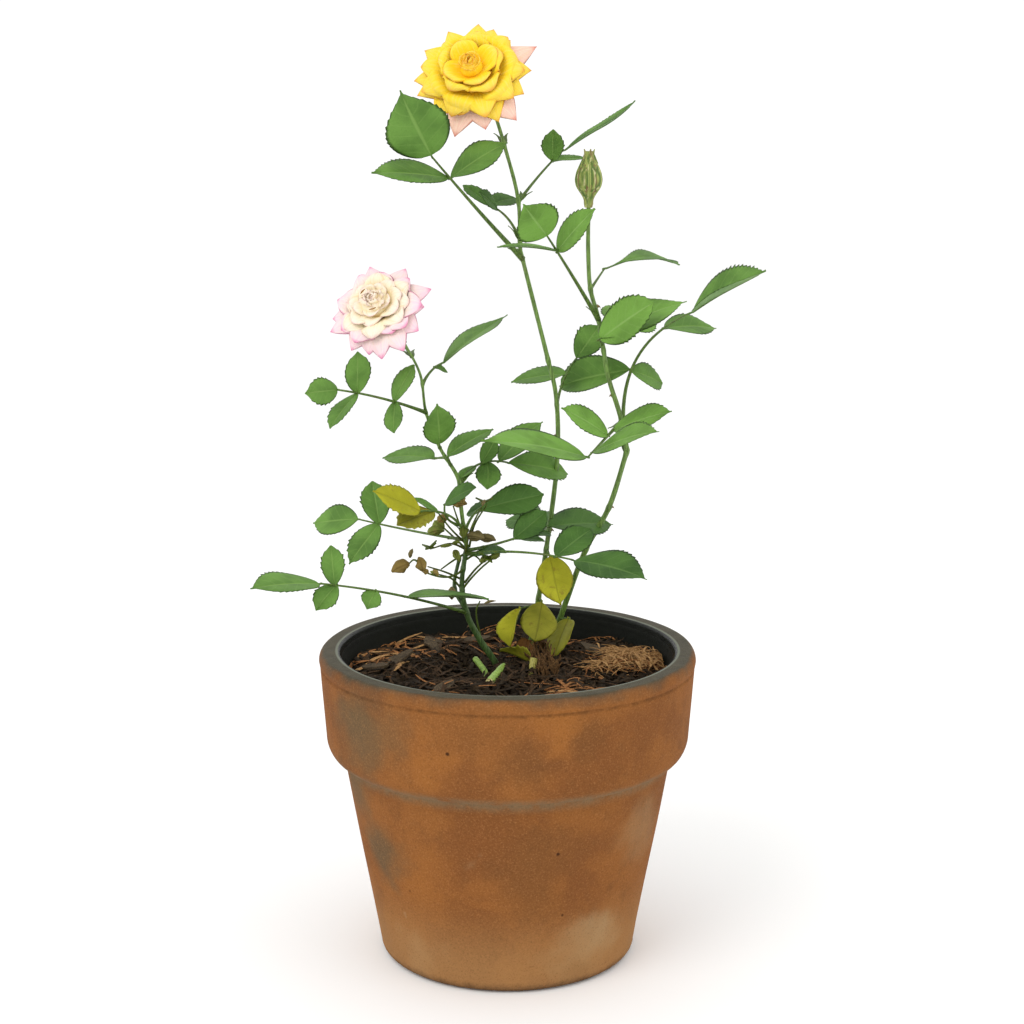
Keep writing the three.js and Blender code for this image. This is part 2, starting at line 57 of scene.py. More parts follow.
COLLAR_ROUND = 8.4
COLLAR_FOOT_RADIUS = 72.7
WALL_TOP_RADIUS = 65.9
WALL_FOOT_RADIUS = 51.4
FOOT_FLAT_RADIUS = 46.7
FOOT_ROUND = 4
MOUTH_RADIUS = 66.9
MOUTH_ROUND = 1.4
FLOOR_HEIGHT = 9
FLOOR_RADIUS = 43.5
POT_SIDES = 240
PROFILE_SPACING = 1.6


def new_piece(name, points, faces, materials, slot, replaced=(), picks=None, maps=None):
    """A smooth closed piece from points in millimetres, riding on the plant's one body."""
    mesh = bpy.data.meshes.new(name)
    mesh.from_pydata((np.asarray(points, float) * MM).tolist(), [], faces)
    for material in materials:
        mesh.materials.append(material)
    if picks is not None:
        mesh.polygons.foreach_set("material_index", np.asarray(picks, np.int32))
    if maps is not None:
        corners = np.zeros(len(mesh.loops), np.int32)
        mesh.loops.foreach_get("vertex_index", corners)
        layer = mesh.uv_layers.new(name="across_along")
        layer.data.foreach_set("uv", np.asarray(maps, np.float32)[corners].ravel())
    shape = bmesh.new()
    shape.from_mesh(mesh)
    bmesh.ops.recalc_face_normals(shape, faces=shape.faces)
    shape.to_mesh(mesh)
    shape.free()
    mesh.shade_smooth()
    piece = bpy.data.objects.new(name, mesh)
    bpy.context.scene.collection.objects.link(piece)
    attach(piece, "root")
    if replaced:
        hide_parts(*replaced)
    return piece


def grid_faces(rows, columns, closed):
    """The four-sided faces between the rows of a grid; a closed grid joins its sides."""
    faces = []
    for row in range(rows - 1):
        for column in range(columns if closed else columns - 1):
            a = row * columns + column
            b = row * columns + (column + 1) % columns
            faces.append((a, b, b + columns, a + columns))
    return faces


def quarter_round(start, end, radius_first, count=8):
    """Points on a quarter round between two corners of a profile."""
    turns = np.linspace(0, math.pi / 2, count + 1)[1:]
    early, late = np.sin(turns), 1 - np.cos(turns)
    shares = (early, late) if radius_first else (late, early)
    return [(start[0] + (end[0] - start[0]) * r, start[1] + (end[1] - start[1]) * z)
            for r, z in zip(*shares)]


def spaced(profile, spacing):
    """The same profile with points added wherever two lie further apart than spacing."""
    points = [profile[0]]
    for start, end in zip(profile, profile[1:]):
        steps = max(1, math.ceil(math.dist(start, end) / spacing))
        points += [tuple(np.add(start, np.subtract(end, start) * k / steps)) for k in range(1, steps + 1)]
    return points


INNER_SLOPE = (MOUTH_RADIUS - FLOOR_RADIUS) / (POT_HEIGHT - FLOOR_HEIGHT)


def inner_radius(z):
    """The pot's inner wall widens evenly from its floor to its mouth."""
    return FLOOR_RADIUS + INNER_SLOPE * (z - FLOOR_HEIGHT)


def lathe(profile, sides, wobble):
    """A turned body from a profile that starts and ends on the axis."""
    ring = np.linspace(0, 2 * math.pi, sides, endpoint=False)
    rows = [[((r - wobble(turn, z)) * math.cos(turn), (r - wobble(turn, z)) * math.sin(turn), z)
             for turn in ring] for r, z in profile[1:-1]]
    points = [point for row in rows for point in row]
    faces = grid_faces(len(rows), sides, True)
    last = (len(rows) - 1) * sides
    points += [(0, 0, profile[0][1]), (0, 0, profile[-1][1])]
    for side in range(sides):
        after = (side + 1) % sides
        faces.append((side, after, len(points) - 2))
        faces.append((last + side, last + after, len(points) - 1))
    return points, faces


def pot_wobble(turn, z):
    """How far the hand-finished clay falls short of true, which never shows at its foot."""
    waves = math.sin(3 * turn + z / 31) + math.sin(5 * turn - z / 17 + 2) + 0.6 * math.sin(11 * turn + z / 9)
    return 0.12 * (2.6 + waves) * min(1, z / 12)


wall_top = (WALL_TOP_RADIUS, COLLAR_FOOT)
bead_foot = (LIP_RADIUS - 0.35, POT_HEIGHT - LIP_BEAD)
lip_edge = (LIP_RADIUS, POT_HEIGHT - LIP_BAND)
mouth_edge = (MOUTH_RADIUS + MOUTH_ROUND, POT_HEIGHT)
pot_profile = spaced([
    (0, 0),
    (FOOT_FLAT_RADIUS, 0),
    *quarter_round((FOOT_FLAT_RADIUS, 0), (WALL_FOOT_RADIUS, FOOT_ROUND), True),
    wall_top,
    *quarter_round(wall_top, (COLLAR_FOOT_RADIUS, COLLAR_FOOT + COLLAR_ROUND), True, 12),
    (bead_foot[0] - 0.15, bead_foot[1] - 1.4),
    (bead_foot[0] - 0.55, bead_foot[1] - 0.5),
    bead_foot,
    lip_edge,
    *quarter_round(lip_edge, (LIP_RADIUS - LIP_ROUND, POT_HEIGHT), False, 10),
    mouth_edge,
    *quarter_round(mouth_edge, (inner_radius(POT_HEIGHT - MOUTH_ROUND), POT_HEIGHT - MOUTH_ROUND), True, 6),
    (FLOOR_RADIUS, FLOOR_HEIGHT),
    (0, FLOOR_HEIGHT),
], PROFILE_SPACING)


def colour(code):
    """A hex code's linear colour."""
    channels = [int(code[k:k + 2], 16) / 255 for k in (1, 3, 5)]
    return [c / 12.92 if c <= 0.04045 else ((c + 0.055) / 1.055) ** 2.4 for c in channels] + [1]


class Field:
    """A value that a finish works out at each point, reckoned with like a number."""

    def __init__(self, finish, socket):
        self.finish, self.socket = finish, socket

    def work(self, operation, other=0.5):
        return self.finish.node("Math", (0, self), (1, other), operation=operation)

    def __add__(self, other):
        return self.work("ADD", other)

    def __sub__(self, other):
        return self.work("SUBTRACT", other)

    def __mul__(self, other):
        return self.work("MULTIPLY", other)

    def rise(self, low, high, top=1.0):
        """0 up to low and top from high, eased between them; low may be the greater."""
        return self.finish.node("MapRange", ("Value", self), (1, low), (2, high), (4, top),
                                interpolation_type="SMOOTHSTEP")

    def part(self, axis):
        """One of a place's three measures."""
        return self.finish.node("SeparateXYZ", (0, self), output=axis)


class Finish:
    """A material as it is mixed: its nodes, and the colour laid on so far."""

    def __init__(self, name, roughness, specular=0.4, coat=0.0):
        self.material = bpy.data.materials.new(name)
        self.material.use_nodes = True
        self.tree = self.material.node_tree
        self.shader = self.tree.nodes["Principled BSDF"]
        self.shader.inputs["Roughness"].default_value = roughness
        self.shader.inputs["Specular IOR Level"].default_value = specular
        self.shader.inputs["Coat Weight"].default_value = coat
        self.shade = None

    def node(self, kind, *inputs, output=0, **settings):
        """Adds a shader node and gives back one of its outputs."""
        made = self.tree.nodes.new("ShaderNode" + kind)
        for name, value in settings.items():
            setattr(made, name, value)
        for place, value in inputs:
            if isinstance(value, Field):
                self.tree.links.new(value.socket, made.inputs[place])
            else:
                made.inputs[place].default_value = value
        return Field(self, made.outputs[output])

    def moved(self, operation, place, by, output=0):
        """A place changed by another place or, where it is scaled, by a number."""
        return self.node("VectorMath", (0, place), (3 if operation == "SCALE" else 1, by),
                         operation=operation, output=output)

    def away(self, place, centre):
        """How far a place is from a centre."""
        return self.moved("DISTANCE", place, centre, output=1)

    def places(self):
        """Where a point lies in the plant, in millimetres."""
        return self.moved("SCALE", self.node("TexCoord", output=3), 1 / MM)

    def cloud(self, where, scale, detail=4.0, roughness=0.55, distortion=0.0, output=0):
        """Soft noise from 0 to 1; the scale is features to the millimetre."""
        return self.node("TexNoise", ("Vector", where), ("Scale", scale), ("Detail", detail),
                         ("Roughness", roughness), ("Distortion", distortion), output=output)

    def mix(self, share, first, second):
        """The first colour turning to the second with a share from 0 to 1."""
        first, second = (colour(shade) if isinstance(shade, str) else shade for shade in (first, second))
        return self.node("Mix", (0, share), (6, first), (7, second), output=2, data_type="RGBA")

    def paint(self, share, shade):
        """Lays a colour over the others by a share from 0 to 1."""
        self.shade = self.mix(share, self.shade, shade)

    def join(self, field, socket):
        self.tree.links.new(field.socket, self.shader.inputs[socket])

    def done(self, height=None, depth=0.0):
        """The finished material, with a height's relief of a depth in millimetres."""
        self.join(self.shade, "Base Color")
        if height is not None:
            self.join(self.node("Bump", ("Height", height), ("Distance", depth * MM)), "Normal")
        return self.material


# Each smudge of the clay: where it is, how far it spreads, its strength and its colour.
MOSS_GREY, BURNT, DUSTY, BRIGHT = "#50503e", "#6a4526", "#a08561", "#98602d"
SMUDGES = [
    ((-58, -46, 103), 24, 0.65, MOSS_GREY), ((-45, -58, 106), 18, 0.35, MOSS_GREY),
    ((-60, -24, 76), 19, 0.6, MOSS_GREY), ((-49, -36, 52), 19, 0.6, MOSS_GREY),
    ((30, -67, 108), 14, 0.55, BURNT), ((7, -73, 101), 15, 0.55, BURNT), ((-14, -73, 111), 16, 0.35, BURNT),
    ((12, -60, 58), 24, 0.55, BURNT), ((8, -58, 40), 18, 0.45, BURNT),
    ((37, -41, 22), 16, 0.8, DUSTY), ((28, -45, 13), 20, 0.6, DUSTY), ((-34, -40, 11), 17, 0.4, DUSTY),
    ((53, -32, 60), 20, 0.35, DUSTY), ((-12, -61, 60), 6, 0.5, DUSTY), ((-41, -38, 27), 2.2, 0.8, DUSTY),
    ((19, -72, 114), 13, 0.7, BRIGHT), ((-29, -67, 97), 16, 0.6, BRIGHT), ((-30, -52, 45), 20, 0.45, BRIGHT),
    ((62, 40, 104), 20, 0.6, MOSS_GREY), ((-20, 70, 108), 22, 0.6, BURNT), ((25, 58, 55), 22, 0.5, MOSS_GREY),
    ((-45, 40, 50), 24, 0.5, BURNT), ((-28, 44, 15), 18, 0.6, DUSTY), ((10, 62, 70), 20, 0.5, BRIGHT),
    ((66, 5, 40), 18, 0.4, BURNT), ((26, -43, 3), 12, 0.75, BURNT),
]
# Small pits in the clay, drawn only as dark dots: painted shade in each hollow.
PITS = [
    (-38, -44, 39), (21, -53, 33), (19, -59, 60), (-22, -70, 103), (-3, -58, 47), (30, 50, 44),
    (-50, 30, 66), (-10, 72, 104)
]

clay = Finish("fired_clay", 0.86, 0.12)
where = clay.places()
blotches = clay.cloud(where, 0.035, 5.0, 0.6, 0.4)
mottle = clay.cloud(where, 0.16, 6.0, 0.65)
grain = clay.cloud(where, 1.5, 4.0, 0.75)
clay.shade = clay.mix(blotches.rise(0.38, 0.62), "#7b4c27", "#8a572b")
clay.paint(mottle.rise(0.5, 0.75, 0.45), "#6e4726")
stir = clay.moved("ADD", clay.cloud(where, 0.07, 5.0, 0.5, output=1), (-0.5, -0.5, -0.5))
stirred = clay.moved("ADD", where, clay.moved("SCALE", stir, 26.0))
for centre, spread, strength, code in SMUDGES:
    clay.paint(clay.away(stirred, centre).rise(spread, 0.15 * spread, strength), code)
height = where.part(2)
out = clay.away(clay.moved("MULTIPLY", where, (1, 1, 0)), (0, 0, 0))
rough_height = height + mottle * 6.0
clay.paint(rough_height.rise(44.0, 9.0, 0.6), "#a67e50")
clay.paint(rough_height.rise(8.0, 3.5, 0.7), "#4b3826")
# A pale grey-tan band along the step under the collar: partly dust in the step, partly a painted highlight.
step_dust_and_highlight = height.rise(77.0, 81.5) * height.rise(86.5, 83.0)
clay.paint(step_dust_and_highlight * mottle.rise(0.2, 0.6, 0.75), "#7b6a50")
clay.paint(grain.rise(0.5, 0.7, 0.45), "#ac784a")
clay.paint(grain.rise(0.48, 0.3, 0.45), "#50331a")
# Each pit is a dot of painted shade.
for centre in PITS:
    clay.paint(clay.away(where, centre).rise(1.0, 0.4, 0.85), "#2e1a0e")
# A dark band in the crease under the lip's bead, broken by the mottle, is painted shade.
shade_under_bead = height.rise(117.2, 118.2) * height.rise(119.4, 118.7)
clay.paint(shade_under_bead * mottle.rise(0.35, 0.65, 0.45), "#4a3018")
rubbed = out + clay.cloud(where, 0.09) * 3.4
on_lip = rubbed.rise(77.2, 74.0) * height.rise(119.5, 122.0)
wash = clay.mix(mottle, "#2c2a20", "#5a5341")
clay.paint(on_lip, clay.mix(grain.rise(0.5, 0.8, 0.4), wash, "#7f7963"))
gap = out - height * INNER_SLOPE
inner_gap = inner_radius(0)
# A thin pale line along the inner edge of the mouth, on the dark wash, is a painted highlight where light
# catches the rounded edge.
edge_highlight = gap.rise(inner_gap + 1.7, inner_gap + 1.1) * gap.rise(inner_gap + 0.2, inner_gap + 0.7)
clay.paint(edge_highlight * on_lip, "#75786a")
inside = gap.rise(inner_gap + 0.7, inner_gap + 0.3)
clay.paint(inside, clay.mix(mottle, "#0e100c", "#20221c"))
clay.join((on_lip * -0.3 + 0.9) - inside * 0.35, "Roughness")
turned = (height * 2.1).work("SINE")
fired_clay = clay.done(grain * 0.6 + mottle * 1.2 + turned * 0.05, 0.3)

new_piece("clay_pot", *lathe(pot_profile, POT_SIDES, pot_wobble), [fired_clay], "fired_clay",
          ["terracotta_pot"])

# ---------------------------------------------------------------- the bark mulch
# Shredded bark heaped a finger's width under the rim: a matted dark bed with loose
# strands, flat chips and a tuft of tan fibre, all lying as they fell.
MULCH_LEVEL = 114
MULCH_HEAVE = 1.6
BED_FOOT = 100
WALL_GAP = 1.2
STRAND_SPREAD = 61
CRUMB_SPREAD = 64
CRUMBS = 3600


def mulch_height(x, y):
    """The mulch lies unevenly, higher round the canes' feet."""
    ripples = np.sin(x / 7 + 1) * np.cos(y / 9) + 0.7 * np.sin((x - y) / 13)
    heap = 2 * np.exp(-((x - 8) ** 2 + (y - 18) ** 2) / 500)
    hollow = 2.5 * np.exp(-((x - 35) ** 2 + (y - 10) ** 2) / 60)
    return MULCH_LEVEL + MULCH_HEAVE * ripples + heap - hollow


class Heap:
    """Many small meshes gathered into one piece."""

    def __init__(self):
        self.points, self.faces, self.maps, self.picks = [], [], [], []

    def add(self, points, faces, maps=None, picks=0):
        start = len(self.points)
        self.points += np.asarray(points, float).tolist()
        self.faces += [tuple(corner + start for corner in face) for face in faces]
        self.maps += np.asarray(maps if maps is not None else np.zeros((len(points), 2))).tolist()
        self.picks += [picks] * len(faces) if np.isscalar(picks) else list(picks)

    def piece(self, name, materials, slot, replaced=()):
        return new_piece(name, self.points, self.faces, materials, slot, replaced, self.picks, self.maps)


def unit(vectors):
    return vectors / np.maximum(np.linalg.norm(vectors, axis=-1, keepdims=True), 1e-9)


def tube(path, half_width, half_depth=None, sides=8, ribs=None):
    """A closed tube of oval rings along a path, its width level; gives points, faces and
    maps. Ribs is a function of the turn and the share along it, times the radius."""
    path = np.asarray(path, float)
    half_width = np.broadcast_to(half_width, len(path))
    half_depth = half_width if half_depth is None else np.broadcast_to(half_depth, len(path))
    ahead = unit(np.gradient(path, axis=0))
    steep = abs(ahead[:, 2]).max() > 0.9
    up = np.eye(3)[np.argmin(np.abs(ahead.sum(0)))] if steep else np.array([0, 0, 1.0])
    side = unit(np.cross(ahead, up))
    out = np.cross(side, ahead)
    turns = np.linspace(0, 2 * math.pi, sides, endpoint=False)
    swell = np.ones((len(path), sides))
    if ribs is not None:
        swell = ribs(turns[None, :], np.linspace(0, 1, len(path))[:, None])
    rings = (path[:, None, :]
             + side[:, None, :] * (swell * half_width[:, None] * np.cos(turns))[..., None]
             + out[:, None, :] * (swell * half_depth[:, None] * np.sin(turns))[..., None])
    faces = grid_faces(len(path), sides, True)
    faces.append(tuple(range(sides)))
    faces.append(tuple(range((len(path) - 1) * sides, len(path) * sides)))
    across, along = np.meshgrid(np.linspace(0, 1, sides), np.linspace(0, 1, len(path)))
    return rings.reshape(-1, 3), faces, np.stack([across.ravel(), along.ravel()], 1)


def strand(chance, centre, heading, length, width, lift, bend):
    """One bark splinter: flat, pointed and nearly straight, tipped as it fell on the others."""
    shares = np.linspace(-0.5, 0.5, 6)
    facing = math.radians(heading)
    sideways = bend * length * (0.25 - shares ** 2) + chance.normal(0, 0.012, 6) * length
    x = centre[0] + shares * length * math.cos(facing) - sideways * math.sin(facing)
    y = centre[1] + shares * length * math.sin(facing) + sideways * math.cos(facing)
    limit = inner_radius(MULCH_LEVEL) - WALL_GAP
    pull = np.minimum(1, limit / np.maximum(np.hypot(x, y), 1))
    x, y = x * pull, y * pull
    z = mulch_height(x, y) + lift * (1 - 1.2 * shares ** 2) + chance.normal(0, 0.14) * length * shares
    taper = np.array([0.3, 0.9, 1, 0.95, 0.8, 0.15]) * width / 2
    return tube(np.stack([x, y, z], 1), taper, np.maximum(0.28 * taper, 0.12), sides=4)


def chip(chance, centre, heading, rise, length, width):
    """A broken flake of bark: a thin slab with a ragged outline."""
    facing, tilt = math.radians(heading), math.radians(rise)
    along = np.array([math.cos(facing) * math.cos(tilt), math.sin(facing) * math.cos(tilt), math.sin(tilt)])
    side = np.array([-math.sin(facing), math.cos(facing), 0])
    up = np.cross(along, side)
    shares = np.linspace(-0.5, 0.5, 6)
    edge = width / 2 * np.array([0.35, 0.8, 1, 0.95, 0.75, 0.2]) * chance.uniform(0.8, 1.2, 6)
    spots = list(zip(shares, edge))
    left = [centre + along * share * length + side * half + up * 0.4 for share, half in spots]
    right = [centre + along * share * length - side * half * 0.9 + up * 0.2 for share, half in spots]
    top = np.array(left + right[::-1])
    below = top - up * 0.9 + chance.normal(0, 0.1, top.shape)
    count = len(top)
    faces = [tuple(range(count)), tuple(range(2 * count - 1, count - 1, -1))]
    faces += [(k, (k + 1) % count, (k + 1) % count + count, k + count) for k in range(count)]
    return np.vstack([top, below]), faces


def crumb(chance, x, y, size):
    """A grain of rotted bark: a lump with six uneven corners."""
    corners = np.array([(1, 0, 0), (0, 1, 0), (-1, 0, 0), (0, -1, 0), (0, 0, 1), (0, 0, -1)], float)
    corners = corners * size * chance.uniform(0.5, 1.3, (6, 1)) + chance.normal(0, 0.25 * size, (6, 3))
    place = np.array([x, y, mulch_height(x, y) - 0.6 + 0.5 * size])
    faces = [(k, (k + 1) % 4, tip) for k in range(4) for tip in (4, 5)]
    return corners + place, faces


def bark(name, dark, light, scale):
    """Shredded bark: long streaks of fibre, paler where it is torn."""
    skin = Finish(name, 0.9, 0.2)
    where = skin.places()
    streaks = skin.cloud(where, scale, 5.0, 0.7, 1.5)
    skin.shade = skin.mix(streaks.rise(0.35, 0.68), dark, light)
    skin.paint(skin.cloud(where, 0.12, 3.0).rise(0.52, 0.72, 0.6), dark)
    return skin.done(streaks, 0.4)


bark_black = bark("bark_black", "#18110a", "#3c2e1c", 0.8)
bark_brown = bark("bark_brown", "#2b1e12", "#5b432b", 1.1)
bark_rust = bark("bark_rust", "#7a4c28", "#bb8350", 1.3)
bark_tan = bark("bark_tan", "#8a653c", "#d0a26b", 1.5)
bark_grey = bark("bark_grey", "#382e22", "#665640", 0.9)

chance = np.random.default_rng(11)
rings, spokes = 56, 150
bed = Heap()
bed_points = []
for ring in range(rings):
    reach = (inner_radius(MULCH_LEVEL) - 0.9) * math.sqrt((ring + 1) / rings)
    for turn in np.linspace(0, 2 * math.pi, spokes, endpoint=False):
        x, y = reach * math.cos(turn), reach * math.sin(turn)
        lumps = relief.fractal((x / 5, y / 5, 3.1), 0.8, 2.2, 5) * 1.5
        bed_points.append((x, y, mulch_height(x, y) - 1.4 + lumps))
bed_points += [(0, 0, mulch_height(0, 0) - 1.4)]
under = [(0.99 * x, 0.99 * y, BED_FOOT) for x, y, z in bed_points[(rings - 1) * spokes:rings * spokes]]
bed_faces = grid_faces(rings, spokes, True)
bed_faces += [(k, (k + 1) % spokes, rings * spokes) for k in range(spokes)]
last = (rings - 1) * spokes
low = len(bed_points)
bed_faces += [(last + k, last + (k + 1) % spokes, low + (k + 1) % spokes, low + k) for k in range(spokes)]
bed_faces.append(tuple(low + k for k in range(spokes)))
bed.add(bed_points + under, bed_faces)
bed.piece("mulch_bed", [bark_black], "bark", ["bark_mulch"])


def scatter(chance, count, length, width, lift, spots=None):
    """A heap of strands over the whole bed, or round spots given as x, y and spread."""
    heap = Heap()
    for k in range(count):
        if spots is None:
            reach, turn = STRAND_SPREAD * math.sqrt(chance.random()), chance.uniform(0, 2 * math.pi)
            centre = (reach * math.cos(turn), reach * math.sin(turn))
        else:
            x, y, spread = spots[k % len(spots)]
            centre = (x + chance.normal(0, spread), y + chance.normal(0, spread))
        heap.add(*strand(chance, centre, chance.uniform(0, 360), chance.uniform(*length),
                         chance.uniform(*width), chance.uniform(*lift), chance.normal(0, 0.16)))
    return heap


grains = Heap()
for k in range(CRUMBS):
    reach, turn = CRUMB_SPREAD * math.sqrt(chance.random()), chance.uniform(0, 2 * math.pi)
    grains.add(*crumb(chance, reach * math.cos(turn), reach * math.sin(turn), chance.uniform(0.4, 1.7)))
RUST_SPOTS = [
    (-40, 30, 9), (-50, 18, 7), (20, -34, 9), (-8, 40, 12), (28, -26, 8), (-30, -30, 12), (30, 40, 10)
]
layers = [
    (grains, "mulch_grains", bark_black),
    (scatter(chance, 620, (5, 17), (0.8, 2.4), (0.1, 1.4)), "mulch_strands_dark", bark_black),
    (scatter(chance, 620, (4, 18), (0.5, 1.7), (0.2, 1.7)), "mulch_strands_brown", bark_brown),
    (scatter(chance, 180, (4, 18), (0.5, 1.7), (0.6, 2.0), RUST_SPOTS), "mulch_strands_rust", bark_rust),
]
for heap, name, skin in layers:
    heap.piece(name, [skin], "bark").data.shade_flat()

TUFT = [(48, 13, 4.5), (43, 9, 4), (53, 19, 4), (40, 2, 5), (54, 6, 3.5), (58, 13, 3), (46, 22, 3)]
# Rust-brown strands mixed into the tan tuft, lying a little lower: partly its own mix of colours, partly
# painted shade between the tan fibres.
scatter(chance, 240, (4, 13), (0.3, 1.2), (0.4, 3.5), TUFT).piece("mulch_tuft_brown", [bark_rust], "bark")
tan = scatter(chance, 460, (3, 13), (0.25, 1.0), (0.4, 4.6), TUFT)
LONG_CHIPS = [
    (-44, 22, 12), (-38, 33, 25), (-52, 14, 50), (22, -32, -28), (28, -34, -22), (18, -38, 15),
    (-10, 44, 5), (-44, 45, 20), (-42, 2, 70), (-58, 2, 60), (-60, -8, 100), (-56, 20, 30),
    (-30, 44, 170), (-20, 48, 10)
]
for x, y, heading in LONG_CHIPS:
    tan.add(*strand(chance, (x, y), heading, 17, 2.2, 1.4, 0.1))
tan.piece("mulch_tuft_tan", [bark_tan], "bark").data.shade_flat()

chips = Heap()
CHIPS = [
    (-45, 6, 15, 28, 16, 10), (-53, 2, -30, 10, 12, 8), (-24, -30, 60, 8, 12, 7),
    (36, 24, 140, 12, 15, 8), (-14, 38, 10, 6, 14, 7), (20, 46, 75, 8, 12, 8), (-30, 34, 120, 10, 15, 8),
    (10, -46, 5, 6, 13, 6)
]
for x, y, heading, rise, length, width in CHIPS:
    centre = np.array([x, y, mulch_height(x, y) + 1.6])
    chips.add(*chip(chance, centre, heading, rise, length, width))
chips.piece("mulch_chips_grey", [bark_grey], "bark").data.shade_flat()

# ---------------------------------------------------------------- the canes
# Green canes, at most about three millimetres thick, ribbed along their length and
# swollen at each joint where a leaf or a shoot leaves. Their skin is waxy and carries a
# few prickles.
KNOT = 0.2


def smooth_limb(bends, count=160):
    """Evenly spaced points on a centripetal curve through a limb's bends."""
    bends = np.asarray(bends, float)
    ends = np.vstack([2 * bends[0] - bends[1], bends, 2 * bends[-1] - bends[-2]])
    path = []
    for k in range(1, len(ends) - 2):
        p0, p1, p2, p3 = ends[k - 1:k + 3]
        d0, d1, d2 = (np.linalg.norm(b - a) ** 0.5 for a, b in ((p0, p1), (p1, p2), (p2, p3)))
        leave = ((p1 - p0) / d0 - (p2 - p0) / (d0 + d1) + (p2 - p1) / d1) * d1
        arrive = ((p2 - p1) / d1 - (p3 - p1) / (d1 + d2) + (p3 - p2) / d2) * d1
        shares = np.linspace(0, 1, 40, endpoint=False)[:, None]
        bow = -3 * p1 + 3 * p2 - 2 * leave - arrive
        twist = 2 * p1 - 2 * p2 + leave + arrive
        path.append(p1 + leave * shares + bow * shares ** 2 + twist * shares ** 3)
    return even(np.vstack([*path, bends[-1:]]), count)


def even(path, count):
    """The same path as count points spaced evenly along it."""
    walked = np.concatenate([[0], np.cumsum(np.linalg.norm(np.diff(path, axis=0), axis=1))])
    wanted = np.linspace(0, walked[-1], count)
    return np.stack([np.interp(wanted, walked, path[:, axis]) for axis in range(3)], 1)


def at_height(path, height):
    return np.array([np.interp(height, path[:, 2], path[:, axis]) for axis in range(3)])


# Each cane: its bends, its radius from foot to tip, and the heights of its joints.
CANES = {
    "left_cane": ([
        (-4, 9, 104), (-4, 9, 113), (-11, 5, 126), (-16, 2, 137), (-18, -1, 150),
        (-16, -4, 166.4)], (1.45, 1.3, 1.0, 0.9), [138, 148, 157, 163, 166]),
    "left_twin_shoot": ([
        (-17, 1, 140), (-21, 2, 148), (-19, 0, 161)], (0.8, 0.7), [148, 160]),
    "pink_bloom_cane": ([
        (-16, -4, 165.8), (-18, -8, 182), (-19, -10, 194), (-26, -13, 207), (-31, -16, 221),
        (-33, -19, 236), (-39, -23, 249)], (0.85, 0.75, 0.55, 0.45), [169, 175, 192, 203, 221, 232]),
    "centre_cane": ([
        (8, 30, 104), (9, 30, 113), (16, 24, 161), (20, 20, 200), (19, 18, 224), (16, 17, 237),
        (5, 13, 280.3)], (1.1, 0.8), [119, 138, 159, 167, 219, 237, 277]),
    "yellow_bloom_cane": ([
        (5, 13, 279.8), (4, 11, 300), (-1, 7, 320), (-6, 4, 336)], (0.8, 0.65), [284, 299, 321]),
    "right_cane": ([
        (16, 33, 104), (17, 33, 113), (21, 32, 126), (32, 28, 158), (41, 25, 176),
        (48, 22, 200.3)], (1.25, 1.0), [127, 158, 176, 199]),
    "bud_cane": ([
        (48, 22, 199.8), (45, 21, 214), (40, 22, 230), (36, 26, 253), (33, 28, 264), (32, 29, 279),
        (32, 30, 297)], (1.0, 0.8), [200, 212, 240, 252, 264]),
}
PRICKLES = [
    ("right_cane", 158, 150), ("right_cane", 176, 10), ("centre_cane", 167, -20),
    ("centre_cane", 206, 160), ("bud_cane", 257, 20), ("bud_cane", 222, 150),
    ("pink_bloom_cane", 214, 200), ("left_cane", 132, 190)
]


def cane_skin(name, deep, bright, blush, specular=0.45):
    """Waxy green skin with long pale streaks, flushed where the sun catches it."""
    skin = Finish(name, 0.48, specular, 0.17 * specular)
    where = skin.places()
    streaks = skin.cloud(skin.moved("MULTIPLY", where, (1.0, 1.0, 0.08)), 1.9, 4.0, 0.6)
    skin.shade = skin.mix(streaks.rise(0.35, 0.65), deep, bright)
    skin.paint(skin.cloud(where, 0.07, 4.0, 0.6).rise(0.55, 0.75, 0.5), blush)
    return skin.done(streaks, 0.12)


cane_green = cane_skin("cane_green", "#455f1e", "#6f913d", "#65753a")
cane_shaded = cane_skin("cane_shaded", "#30461b", "#54703a", "#4c4a2a")
prickle_red = cane_skin("prickle_red", "#5e4a26", "#8a7444", "#6e3e28")


def cane_ribs(turn, share):
    return 1 + 0.05 * np.cos(5 * turn + 9 * share) + 0.03 * np.sin(2 * turn + 40 * share)


paths = {}
for name, (bends, girths, joints) in CANES.items():
    path = smooth_limb(bends)
    paths[name] = path
    radius = np.interp(np.linspace(0, 1, len(path)), np.linspace(0, 1, len(girths)), girths)
    for joint in joints:
        radius = radius + KNOT * np.exp(-((path[:, 2] - joint) / 1.1) ** 2)
    heap = Heap()
    heap.add(*tube(path, radius, sides=16, ribs=cane_ribs))
    for cane, height, heading in PRICKLES:
        if cane != name:
            continue
        start = at_height(path, height)
        facing = math.radians(heading)
        out, up = np.array([0, 1.0, 1.7, 2.3]), np.array([0, 0.3, 0.2, -0.4])
        hook = start + np.stack([out * math.cos(facing), out * math.sin(facing), up], 1)
        heap.add(*tube(hook, [0.4, 0.5, 0.25, 0.05], [0.9, 0.8, 0.35, 0.05], sides=8), picks=1)
    skin = cane_shaded if name in ("left_cane", "left_twin_shoot") else cane_green
    heap.piece(name + "_skin", [skin, prickle_red], "green_cane", [name])

